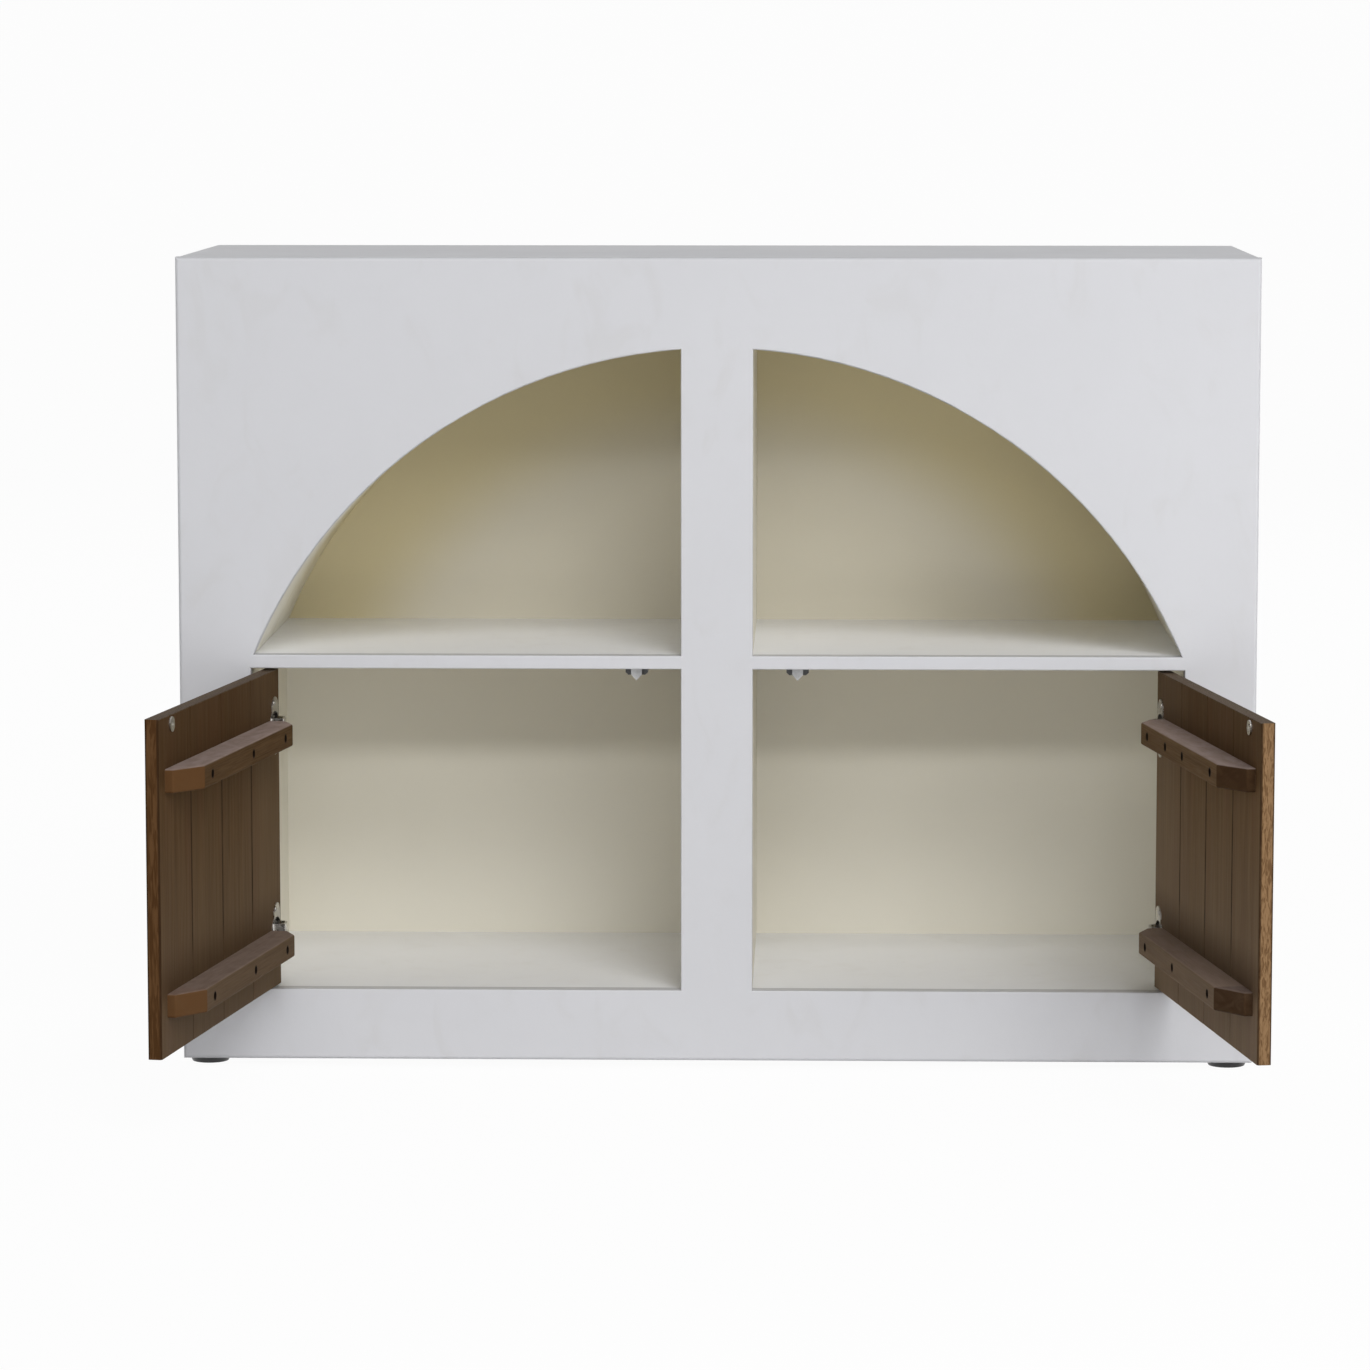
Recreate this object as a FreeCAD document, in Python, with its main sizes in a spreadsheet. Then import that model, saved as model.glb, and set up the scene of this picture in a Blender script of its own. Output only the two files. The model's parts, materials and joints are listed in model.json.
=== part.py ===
"""Arched sideboard: a thick-walled painted carcass with two quarter-arch niches over two cupboards.

The cupboards have inset plank doors on concealed cup hinges and sprung catches under the shelves.
X runs along the front, Y from the front to the back and Z up from the floor. The doors stand open.
"""
import os
import re

import FreeCAD
import Part
import Sketcher

doc = FreeCAD.newDocument("sideboard")

# Driving dimensions, in millimetres and degrees
DRIVING = [
    ("carcass_width", 1200),
    ("carcass_height", 900),
    ("carcass_depth", 400),
    ("panel", 18),
    ("back_thickness", 8),
    ("edge_round", 4),
    ("opening_round", 1.5),
    ("stile_width", 80),
    ("post_width", 80),
    ("plinth_height", 80),
    ("crown_height", 100),
    ("arch_rise", 350),
    ("shelf_thickness", 15),
    ("soffit_thickness", 8),
    ("curve_clearance", 0.3),
    ("foot_height", 10),
    ("foot_top_diameter", 50),
    ("foot_bottom_diameter", 41),
    ("foot_inset", 25),
    ("foot_setback", 46),
    ("foot_recess_diameter", 12),
    ("foot_recess_depth", 5),
    ("block_width", 56),
    ("block_length", 60),
    ("block_height", 40),
    ("door_gap", 3),
    ("door_thickness", 15),
    ("plank_groove", 1.2),
    ("door_edge_round", 2.5),
    ("open_angle", 99.3),
    ("pivot_inset", 20),
    ("pivot_depth", 9),
    ("hinge_to_edge", 62),
    ("cup_diameter", 35),
    ("cup_centre", 22),
    ("cup_depth", 12),
    ("cup_wall", 1),
    ("bore_clearance", 0.1),
    ("flange_length", 65),
    ("flange_width", 24),
    ("flange_shift", 1.5),
    ("flange_thickness", 1.2),
    ("cup_screw_spacing", 52),
    ("cup_screw_offset", 5.5),
    ("pin_diameter", 4),
    ("pin_clearance", 0.05),
    ("ear_thickness", 2.5),
    ("ear_width", 8),
    ("ear_gap", 0.5),
    ("arm_width", 15),
    ("arm_thickness", 2.5),
    ("arm_eye_diameter", 8),
    ("arm_reach", 14.5),
    ("arm_elbow_depth", 26),
    ("arm_heel_depth", 45),
    ("arm_end_depth", 84),
    ("arm_lift", 13),
    ("plate_start", 47),
    ("plate_end", 82),
    ("plate_block_width", 13),
    ("wing_start", 54),
    ("wing_width", 14),
    ("wing_length", 54),
    ("wing_thickness", 3),
    ("wing_round", 6),
    ("plate_screw_spacing", 36),
    ("batten_height", 25),
    ("batten_thickness", 32),
    ("batten_end", 22),
    ("batten_blunt", 9),
    ("batten_bevel", 39),
    ("batten_hinge_end", 37),
    ("batten_round", 2.5),
    ("left_upper_drop", 67),
    ("left_lower_rise", 53),
    ("right_upper_drop", 62),
    ("right_lower_rise", 60),
    ("batten_screw_inset", 30),
    ("batten_recess_depth", 12),
    ("strike_diameter", 16),
    ("strike_thickness", 2),
    ("strike_drop", 10),
    ("catch_offset", 50),
    ("catch_width", 25),
    ("catch_height", 9),
    ("catch_length", 42),
    ("catch_bevel", 3),
    ("catch_gap", 0.4),
    ("head_width", 12),
    ("head_thickness", 4),
    ("head_top_gap", 1),
    ("head_shoulder", 8),
    ("head_tip", 14.5),
    ("head_travel", 3),
    ("stem_diameter", 5),
    ("stem_length", 24),
    ("stem_drop", 4.5),
    ("stem_bore_depth", 32),
    ("catch_screw_spacing", 17),
    ("catch_screw_setback", 22),
    ("screw_clearance", 0.05),
    ("wood_screw_diameter", 4),
    ("wood_head_diameter", 7.6),
    ("wood_head_height", 2.6),
    ("small_screw_diameter", 3),
    ("small_head_diameter", 6),
    ("small_head_height", 1.6),
    ("small_screw_length", 11),
    ("wood_screw_length", 14),
    ("foot_screw_length", 24),
    ("batten_screw_grip", 9),
]
sizes = doc.addObject("Spreadsheet::Sheet", "Sizes")
for row, (alias, value) in enumerate(DRIVING, start=1):
    sizes.set(f"A{row}", alias)
    sizes.set(f"B{row}", str(value))
    sizes.setAlias(f"B{row}", alias)
doc.recompute()
ALIASES = re.compile(r"\b(" + "|".join(alias for alias, _ in DRIVING) + r")\b")

# Places worked out from the driving dimensions, as expressions over the sheet
HALF_WIDTH = "(carcass_width / 2)"
INSIDE = f"({HALF_WIDTH} - panel)"
JAMB = f"({HALF_WIDTH} - stile_width)"
POST = "(post_width / 2)"
BACK = "(carcass_depth - back_thickness)"
UNDER_TOP = "(carcass_height - panel)"
UNDER_FLOOR = "(plinth_height - panel)"
RAIL_FRONT = f"({BACK} - panel)"
SPRINGING = "(carcass_height - crown_height - arch_rise)"
SHELF_LOW = f"({SPRINGING} - shelf_thickness / 2)"
SHELF_TOP = f"({SPRINGING} + shelf_thickness / 2)"
ARCH_RADIUS = f"(({JAMB} ^ 2 + arch_rise ^ 2) / (2 * arch_rise))"
ARCH_CENTRE = f"(carcass_height - crown_height - {ARCH_RADIUS})"
DOOR_WIDTH = f"({JAMB} - {POST} - 2 * door_gap)"
DOOR_HEIGHT = f"({SHELF_LOW} - plinth_height - 2 * door_gap)"
DOOR_LOW = "(plinth_height + door_gap)"
PLANK_WIDTH = f"({DOOR_WIDTH} / 4)"
HINGE_EDGE = "(pivot_inset - door_gap)"
OUTER_FACE = "(-pivot_depth)"
INNER_FACE = "(door_thickness - pivot_depth)"
DOOR_REACH = (
    f"(({DOOR_WIDTH} - {HINGE_EDGE}) * cos(open_angle - 90)"
    f" + {INNER_FACE} * sin(open_angle - 90) - pivot_depth)"
)
FRONT = f"(({DOOR_REACH} - carcass_depth) / 2)"
UPPER_HINGE = f"({DOOR_HEIGHT} - hinge_to_edge)"
LOWER_HINGE = "hinge_to_edge"
CATCH_FRONT = "(door_thickness + strike_thickness + catch_gap)"
HOUSING_FRONT = f"({CATCH_FRONT} + head_thickness + head_travel + catch_gap)"
CATCH_X = f"({POST} + catch_offset)"
WING_MIDDLE = "(wing_start + wing_width / 2)"


def cells(expression):
    """The expression with each size written as a cell of the sheet."""
    return ALIASES.sub(r"Sizes.\1", expression)


def number(expression):
    return float(sizes.evalExpression(cells(expression)))


def bind(thing, name, expression):
    thing.setExpression(name, cells(expression))


def arch_x(height, growth="0"):
    """Half width of the arch, widened by growth in radius, at a height above the carcass bottom."""
    return f"(sqrt(({ARCH_RADIUS} + {growth}) ^ 2 - ({height} - {ARCH_CENTRE}) ^ 2))"


def arch_height(x, growth="0"):
    return f"({ARCH_CENTRE} + sqrt(({ARCH_RADIUS} + {growth}) ^ 2 - ({x}) ^ 2))"


# Bodies, sketches and features
TOLERANCE = 0.001
nodes = []


def new_body(label, x="0", y="0", z="0", turn="0"):
    body = doc.addObject("PartDesign::Body", label)
    body.Label = label
    place(body, x, y, z, turn)
    nodes.append(body)
    return body


def place(thing, x, y, z, turn="0"):
    bind(thing, "Placement.Base.x", x)
    bind(thing, "Placement.Base.y", f"{FRONT} + {y}")
    bind(thing, "Placement.Base.z", f"foot_height + {z}")
    bind(thing, "Placement.Rotation.Angle", turn)


def new_sketch(body, plane, offset):
    """A sketch on one of the body's own planes, moved along that plane's axis by offset."""
    sketch = body.newObject("Sketcher::SketchObject", body.Label + "_sketch")
    support = [part for part in body.Origin.OriginFeatures if part.Role == plane + "_Plane"][0]
    sketch.AttachmentSupport = [(support, "")]
    sketch.MapMode = "FlatFace"
    direction = "-1" if plane == "XZ" else "1"
    bind(sketch, "AttachmentOffset.Base.z", f"{direction} * ({offset})")
    return sketch


def bind_point(sketch, item, end, x, y, which="xy"):
    if "x" in which:
        index = sketch.addConstraint(Sketcher.Constraint("DistanceX", -1, 1, item, end, number(x)))
        bind(sketch, f"Constraints[{index}]", x)
    if "y" in which:
        index = sketch.addConstraint(Sketcher.Constraint("DistanceY", -1, 1, item, end, number(y)))
        bind(sketch, f"Constraints[{index}]", y)


def draw_outline(sketch, corners, arcs=None):
    """A closed outline. A corner is (x, y) or (x, y, held): held names the coordinates that are bound.

    arcs maps the index of a side to (centre x, centre y, radius, True if it runs anticlockwise).
    """
    arcs = arcs or {}
    points = [FreeCAD.Vector(number(corner[0]), number(corner[1]), 0) for corner in corners]
    count = len(points)
    first = sketch.GeometryCount
    ends = []
    for side in range(count):
        start = points[side]
        stop = points[(side + 1) % count]
        if side in arcs:
            x, y, radius, anticlockwise = arcs[side]
            centre = FreeCAD.Vector(number(x), number(y), 0)
            circle = Part.Circle(centre, FreeCAD.Vector(0, 0, 1), number(radius))
            low, high = (start, stop) if anticlockwise else (stop, start)
            arc = Part.ArcOfCircle(circle, circle.parameter(low), circle.parameter(high))
            sketch.addGeometry(arc, False)
            ends.append((1, 2) if anticlockwise else (2, 1))
        else:
            sketch.addGeometry(Part.LineSegment(start, stop), False)
            ends.append((1, 2))
    for side in range(count):
        after = (side + 1) % count
        join = Sketcher.Constraint("Coincident", first + side, ends[side][1], first + after, ends[after][0])
        sketch.addConstraint(join)
    for side, corner in enumerate(corners):
        held = corner[2] if len(corner) > 2 else "xy"
        bind_point(sketch, first + side, ends[side][0], corner[0], corner[1], held)
    for side, (x, y, radius, _) in arcs.items():
        bind_point(sketch, first + side, 3, x, y)
        index = sketch.addConstraint(Sketcher.Constraint("Radius", first + side, number(radius)))
        bind(sketch, f"Constraints[{index}]", radius)


def draw_circle(sketch, x, y, radius):
    centre = FreeCAD.Vector(number(x), number(y), 0)
    item = sketch.addGeometry(Part.Circle(centre, FreeCAD.Vector(0, 0, 1), number(radius)), False)
    bind_point(sketch, item, 3, x, y)
    index = sketch.addConstraint(Sketcher.Constraint("Radius", item, number(radius)))
    bind(sketch, f"Constraints[{index}]", radius)


def rectangle(x_low, x_high, y_low, y_high):
    return [(x_low, y_low), (x_high, y_low), (x_high, y_high), (x_low, y_high)]


def add_pad(body, sketch, length, backwards=False):
    """Adds the sketch's area along its normal, or against it. An XZ sketch's normal is -Y."""
    pad = body.newObject("PartDesign::Pad", body.Label + "_pad")
    pad.Profile = sketch
    pad.Reversed = backwards
    bind(pad, "Length", length)
    doc.recompute()
    return pad


def add_pocket(body, sketch, depth, backwards=False):
    """Cuts the sketch's area against its normal, or along it, and makes sure that something was cut."""
    before = body.Shape.Volume
    pocket = body.newObject("PartDesign::Pocket", body.Label + "_pocket")
    pocket.Profile = sketch
    pocket.Reversed = backwards
    bind(pocket, "Length", depth)
    doc.recompute()
    if body.Shape.Volume >= before:
        raise RuntimeError(body.Label + ": a pocket cut nothing")
    return pocket


def round_edges(body, chosen, radius):
    """Fillets the edges of the body's last feature that chosen accepts."""
    tip = body.Tip
    names = [f"Edge{i}" for i, edge in enumerate(tip.Shape.Edges, start=1) if chosen(edge)]
    fillet = body.newObject("PartDesign::Fillet", body.Label + "_rounding")
    fillet.Base = (tip, names)
    bind(fillet, "Radius", radius)
    doc.recompute()


def drill(body, plane, offset, centres, diameter, depth, backwards=False):
    sketch = new_sketch(body, plane, offset)
    for x, y in centres:
        draw_circle(sketch, x, y, f"({diameter}) / 2")
    add_pocket(body, sketch, depth, backwards)


def new_board(label, x_low, x_high, depth_low, depth_high, low, high):
    """A flat board, given in the carcass's own width, depth behind the front and height."""
    body = new_body(label)
    sketch = new_sketch(body, "XY", low)
    draw_outline(sketch, rectangle(x_low, x_high, depth_low, depth_high))
    add_pad(body, sketch, f"({high}) - ({low})")
    return body


def new_group(label, shapes, x="0", y="0", z="0", turn="0"):
    """Like pieces kept in one node as separate solids."""
    group = doc.addObject("Part::Feature", label)
    group.Label = label
    group.Shape = Part.makeCompound(shapes)
    place(group, x, y, z, turn)
    nodes.append(group)


def screw(kind, length, at, direction):
    """A pan-head screw of the wood or small kind: head standing at the point, shank against direction."""
    head_radius = number(f"{kind}_head_diameter / 2")
    shank_radius = number(f"{kind}_screw_diameter / 2")
    axis = FreeCAD.Vector(*direction)
    point = FreeCAD.Vector(*[number(value) for value in at])
    head = Part.makeCylinder(head_radius, number(f"{kind}_head_height"), point, axis)
    shank = Part.makeCylinder(shank_radius, number(length), point - axis * number(length), axis)
    return head.fuse(shank).removeSplitter()


SIDES = (("left", -1), ("right", 1))
SHANK_HOLE = "wood_screw_diameter + 2 * screw_clearance"
SMALL_HOLE = "small_screw_diameter + 2 * screw_clearance"


def signed(sign, expression):
    return f"({sign} * ({expression}))"


# Front panel: one sheet with a doorway and a quarter-arch niche on each side of the post
front_panel = new_body("front_panel")
sketch = new_sketch(front_panel, "XZ", "0")
draw_outline(sketch, rectangle(f"-{HALF_WIDTH}", HALF_WIDTH, "0", "carcass_height"))
add_pad(front_panel, sketch, "panel", backwards=True)
sketch = new_sketch(front_panel, "XZ", "0")
for _, sign in SIDES:
    draw_outline(sketch, rectangle(signed(sign, POST), signed(sign, JAMB), "plinth_height", SHELF_LOW))
    niche = [
        (signed(sign, POST), SHELF_TOP),
        (signed(sign, arch_x(SHELF_TOP)), SHELF_TOP, "y"),
        (signed(sign, POST), arch_height(POST), "x"),
    ]
    draw_outline(sketch, niche, {1: ("0", ARCH_CENTRE, ARCH_RADIUS, sign > 0)})
add_pocket(front_panel, sketch, "panel")
half_width = number(HALF_WIDTH)
carcass_height = number("carcass_height")
opening_reach = number(JAMB) + TOLERANCE


def on_front(edge):
    return edge.BoundBox.YMax < TOLERANCE


def reach(edge):
    """How far the edge goes from the middle of the front."""
    return max(abs(edge.BoundBox.XMin), abs(edge.BoundBox.XMax))


def on_outline(edge):
    box = edge.BoundBox
    beside = reach(edge) > half_width - TOLERANCE and box.XLength < TOLERANCE
    at_ends = box.ZMin < TOLERANCE or box.ZMax > carcass_height - TOLERANCE
    return on_front(edge) and (beside or (box.ZLength < TOLERANCE and at_ends))


def on_opening(edge):
    return on_front(edge) and reach(edge) < opening_reach


round_edges(front_panel, on_opening, "opening_round")
round_edges(front_panel, on_outline, "edge_round")

# Outer case: two sides, top, floor of the cupboards and back
for name, sign in SIDES:
    new_board(
        f"{name}_side_panel", signed(sign, INSIDE), signed(sign, HALF_WIDTH), "panel", BACK, "0", UNDER_TOP
    )
top_panel = new_board(
    "top_panel", f"-{HALF_WIDTH}", HALF_WIDTH, "panel", "carcass_depth", UNDER_TOP, "carcass_height"
)


def on_top_rim(edge):
    box = edge.BoundBox
    top = box.ZMin > carcass_height - TOLERANCE
    return top and box.YMax > number("panel") + TOLERANCE


round_edges(top_panel, on_top_rim, "edge_round")
new_board("cupboard_floor", f"-{INSIDE}", INSIDE, "panel", BACK, UNDER_FLOOR, "plinth_height")
new_board("back_panel", f"-{HALF_WIDTH}", HALF_WIDTH, BACK, "carcass_depth", "0", UNDER_TOP)

# Base under the floor: a rear rail, a middle rail and a glue block in each corner for the feet
new_board("rear_base_rail", f"-{INSIDE}", INSIDE, RAIL_FRONT, BACK, "0", UNDER_FLOOR)
new_board("middle_base_rail", "-panel / 2", "panel / 2", "panel", RAIL_FRONT, "0", UNDER_FLOOR)
FOOT_X = f"({HALF_WIDTH} - foot_inset)"
FOOT_DEPTHS = ("foot_setback", f"({BACK} - foot_setback)")
BLOCK_STARTS = ("panel", f"({BACK} - panel - block_length)")
blocks = []
feet = []
foot_screws = []
for _, sign in SIDES:
    for foot_depth, block_start in zip(FOOT_DEPTHS, BLOCK_STARTS):
        centre = FreeCAD.Vector(sign * number(FOOT_X), number(foot_depth), 0)
        outer = number(INSIDE)
        corner_x = outer - number("block_width") if sign > 0 else -outer
        corner = FreeCAD.Vector(corner_x, number(block_start), 0)
        block = Part.makeBox(number("block_width"), number("block_length"), number("block_height"), corner)
        pilot = Part.makeCylinder(number(SHANK_HOLE) / 2, number("foot_screw_length"), centre)
        blocks.append(block.cut(pilot))
        low = centre - FreeCAD.Vector(0, 0, number("foot_height"))
        top_radius = number("foot_top_diameter / 2")
        glide = Part.makeCone(number("foot_bottom_diameter / 2"), top_radius, number("foot_height"), low)
        recess = Part.makeCylinder(number("foot_recess_diameter / 2"), number("foot_recess_depth"), low)
        bore = Part.makeCylinder(number(SHANK_HOLE) / 2, number("foot_height"), low)
        feet.append(glide.cut(recess).cut(bore))
        seat = "foot_recess_depth - foot_height"
        point = (f"{sign} * {FOOT_X}", foot_depth, seat)
        foot_screws.append(screw("wood", "foot_screw_length", point, (0, 0, -1)))
new_group("corner_blocks", blocks)
new_group("foot_glides", feet)
new_group("foot_screws", foot_screws)

# Thick walls beside the openings, the hollow centre post, the shelves and the curved soffits
PLATE_SCREWS = [
    (WING_MIDDLE, f"({DOOR_LOW} + {hinge} {step} plate_screw_spacing / 2)")
    for hinge in (LOWER_HINGE, UPPER_HINGE)
    for step in ("-", "+")
]
CATCH_SCREWS = [f"({CATCH_X} - catch_screw_spacing / 2)", f"({CATCH_X} + catch_screw_spacing / 2)"]
CATCH_SCREW_DEPTH = f"({HOUSING_FRONT} + catch_screw_setback)"
for name, sign in SIDES:
    face = signed(sign, JAMB)
    rear = signed(sign, f"{JAMB} + panel")
    jamb = new_board(f"{name}_jamb_panel", face, rear, "panel", BACK, "plinth_height", SHELF_LOW)
    drill(jamb, "YZ", face, PLATE_SCREWS, SHANK_HOLE, "wood_screw_length", backwards=sign > 0)
    face = signed(sign, POST)
    rear = signed(sign, f"{POST} - panel")
    new_board(f"{name}_post_panel", rear, face, "panel", BACK, "plinth_height", UNDER_TOP)
    shelf = new_board(f"{name}_shelf", face, signed(sign, INSIDE), "panel", BACK, SHELF_LOW, SHELF_TOP)
    points = [(signed(sign, x), CATCH_SCREW_DEPTH) for x in CATCH_SCREWS]
    drill(shelf, "XY", SHELF_LOW, points, SMALL_HOLE, "small_screw_length", backwards=True)
    soffit = new_body(f"{name}_arch_soffit")
    sketch = new_sketch(soffit, "XZ", "panel")
    outline = [
        (signed(sign, arch_x(SHELF_TOP)), SHELF_TOP, "y"),
        (signed(sign, POST), arch_height(POST), "x"),
        (signed(sign, POST), arch_height(POST, "soffit_thickness"), "x"),
        (signed(sign, arch_x(SHELF_TOP, "soffit_thickness")), SHELF_TOP, "y"),
    ]
    inner_arc = ("0", ARCH_CENTRE, ARCH_RADIUS, sign > 0)
    outer_arc = ("0", ARCH_CENTRE, f"{ARCH_RADIUS} + soffit_thickness", sign < 0)
    draw_outline(sketch, outline, {0: inner_arc, 2: outer_arc})
    add_pad(soffit, sketch, f"{BACK} - panel", backwards=True)
    rib = new_body(f"{name}_arch_rib")
    sketch = new_sketch(rib, "XZ", f"{BACK} - panel")
    rib_growth = "(soffit_thickness + curve_clearance)"
    outline = [
        (signed(sign, arch_x(SHELF_TOP, rib_growth)), SHELF_TOP, "y"),
        (signed(sign, INSIDE), SHELF_TOP),
        (signed(sign, INSIDE), UNDER_TOP),
        (signed(sign, POST), UNDER_TOP),
        (signed(sign, POST), arch_height(POST, rib_growth), "x"),
    ]
    rib_arc = ("0", ARCH_CENTRE, f"{ARCH_RADIUS} + {rib_growth}", sign < 0)
    draw_outline(sketch, outline, {4: rib_arc})
    add_pad(rib, sketch, "panel", backwards=True)

# Hinge arms and mounting plates, on the jamb panels
plate_screws = []
wing_end = number("wing_length / 2") - TOLERANCE


def on_wing_corner(edge):
    box = edge.BoundBox
    at_end = max(abs(box.ZMin), abs(box.ZMax)) > wing_end
    return at_end and box.YLength < TOLERANCE and box.ZLength < TOLERANCE


for name, sign in SIDES:
    wall = signed(sign, JAMB)
    for level, hinge in (("upper", UPPER_HINGE), ("lower", LOWER_HINGE)):
        height = f"{DOOR_LOW} + {hinge}"
        plate = new_body(f"{name}_{level}_hinge_plate", wall, "0", height)
        wing = rectangle("wing_start", "wing_start + wing_width", "-wing_length / 2", "wing_length / 2")
        block = rectangle("plate_start", "plate_end", "-plate_block_width / 2", "plate_block_width / 2")
        for outline, thickness in ((wing, "wing_thickness"), (block, "arm_lift - arm_thickness / 2")):
            sketch = new_sketch(plate, "YZ", "0")
            draw_outline(sketch, outline)
            add_pad(plate, sketch, thickness, backwards=sign > 0)
        round_edges(plate, on_wing_corner, "wing_round")
        holes = [(WING_MIDDLE, f"{step}plate_screw_spacing / 2") for step in ("-", "")]
        drill(plate, "YZ", "0", holes, SHANK_HOLE, "wing_thickness", backwards=sign < 0)
        for step in ("-", "+"):
            point = (
                signed(sign, f"{JAMB} - wing_thickness"),
                WING_MIDDLE,
                f"{height} {step} plate_screw_spacing / 2",
            )
            plate_screws.append(screw("wood", "wood_screw_length", point, (-sign, 0, 0)))
        # Cranked arm: an eye on the pin, out of the cup, round the door's edge and back to the plate
        neck = number("pivot_inset + arm_reach")
        lift = number("arm_lift")
        turns = [
            (number("pivot_inset"), number("pivot_depth")),
            (neck, number("pivot_depth")),
            (neck, number("arm_elbow_depth")),
            (lift, number("arm_heel_depth")),
            (lift, number("arm_end_depth")),
        ]
        path = Part.makePolygon([FreeCAD.Vector(-sign * away, depth, 0) for away, depth in turns])
        strip = Part.Face(path.makeOffset2D(number("arm_thickness / 2"), 0, False, False))
        rise = FreeCAD.Vector(0, 0, number("arm_width"))
        pivot = FreeCAD.Vector(-sign * turns[0][0], turns[0][1], 0)
        eye = Part.makeCylinder(number("arm_eye_diameter / 2"), rise.z, pivot)
        hole = Part.makeCylinder(number("pin_diameter / 2 + pin_clearance"), rise.z, pivot)
        arm = doc.addObject("Part::Feature", f"{name}_{level}_hinge_arm")
        arm.Label = f"{name}_{level}_hinge_arm"
        arm.Shape = strip.extrude(rise).fuse(eye).cut(hole).removeSplitter()
        place(arm, wall, "0", f"{height} - arm_width / 2")
        nodes.append(arm)
new_group("hinge_plate_screws", plate_screws)

# Sprung catches under the shelves: a black housing and a wedge-nosed head that is pressed in
catch_screws = []
for name, sign in SIDES:
    middle = signed(sign, CATCH_X)
    housing = new_body(f"{name}_catch_housing", middle, "0", SHELF_LOW)
    sketch = new_sketch(housing, "XZ", HOUSING_FRONT)
    flank = "catch_width / 2"
    outline = [
        (f"-{flank}", "0"),
        (f"-{flank}", "catch_bevel - catch_height"),
        (f"catch_bevel - {flank}", "-catch_height"),
        (f"{flank} - catch_bevel", "-catch_height"),
        (flank, "catch_bevel - catch_height"),
        (flank, "0"),
    ]
    draw_outline(sketch, outline)
    add_pad(housing, sketch, "catch_length", backwards=True)
    bore = "stem_diameter + 2 * pin_clearance"
    drill(housing, "XZ", HOUSING_FRONT, [("0", "-stem_drop")], bore, "stem_bore_depth")
    points = [(f"{step}catch_screw_spacing / 2", CATCH_SCREW_DEPTH) for step in ("-", "")]
    drill(housing, "XY", "-catch_height", points, SMALL_HOLE, "catch_height", backwards=True)
    for x in CATCH_SCREWS:
        point = (signed(sign, x), CATCH_SCREW_DEPTH, f"{SHELF_LOW} - catch_height")
        catch_screws.append(screw("small", "catch_height + small_screw_length", point, (0, 0, -1)))
    head = new_body(f"{name}_catch_head", middle, "0", SHELF_LOW)
    sketch = new_sketch(head, "XZ", CATCH_FRONT)
    outline = [
        ("-head_width / 2", "-head_top_gap"),
        ("-head_width / 2", "-head_shoulder"),
        ("0", "-head_tip"),
        ("head_width / 2", "-head_shoulder"),
        ("head_width / 2", "-head_top_gap"),
    ]
    draw_outline(sketch, outline)
    add_pad(head, sketch, "head_thickness", backwards=True)
    sketch = new_sketch(head, "XZ", f"{CATCH_FRONT} + head_thickness")
    draw_circle(sketch, "0", "-stem_drop", "stem_diameter / 2")
    add_pad(head, sketch, "stem_length", backwards=True)
new_group("catch_screws", catch_screws)

# Doors: four upright planks on two bevelled battens, drawn closed about the hinge pin and then turned
STRIKE_U = f"({DOOR_WIDTH} + door_gap - catch_offset)"
STRIKE_Z = f"({DOOR_HEIGHT} - strike_drop)"
FRONT_START = "(batten_end + batten_bevel)"
FRONT_END = f"({DOOR_WIDTH} - {FRONT_START})"
THREE_SCREWS = {
    0: f"({FRONT_START} + batten_screw_inset)",
    1: f"({PLANK_WIDTH} * 2 - batten_screw_inset / 2)",
    3: f"({FRONT_END} - batten_screw_inset)",
}
FOUR_SCREWS = {
    0: THREE_SCREWS[0],
    1: f"({PLANK_WIDTH} * 3 / 2)",
    2: f"({PLANK_WIDTH} * 2 + batten_screw_inset * 2 / 3)",
    3: THREE_SCREWS[3],
}
BATTEN_FACE = f"({INNER_FACE} + batten_thickness)"
CUT_THICKNESS = (
    "(batten_blunt + (batten_hinge_end - batten_end) * (batten_thickness - batten_blunt) / batten_bevel)"
)
HINGES = (("upper", UPPER_HINGE), ("lower", LOWER_HINGE))
door_face = number(INNER_FACE) + TOLERANCE


def off_door(edge):
    return edge.BoundBox.YMax > door_face


def batten_screw_places(side, level):
    """Screw places from the hinge edge, by plank: the right door's upper batten has one more."""
    return FOUR_SCREWS if (side, level) == ("right", "upper") else THREE_SCREWS


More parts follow.
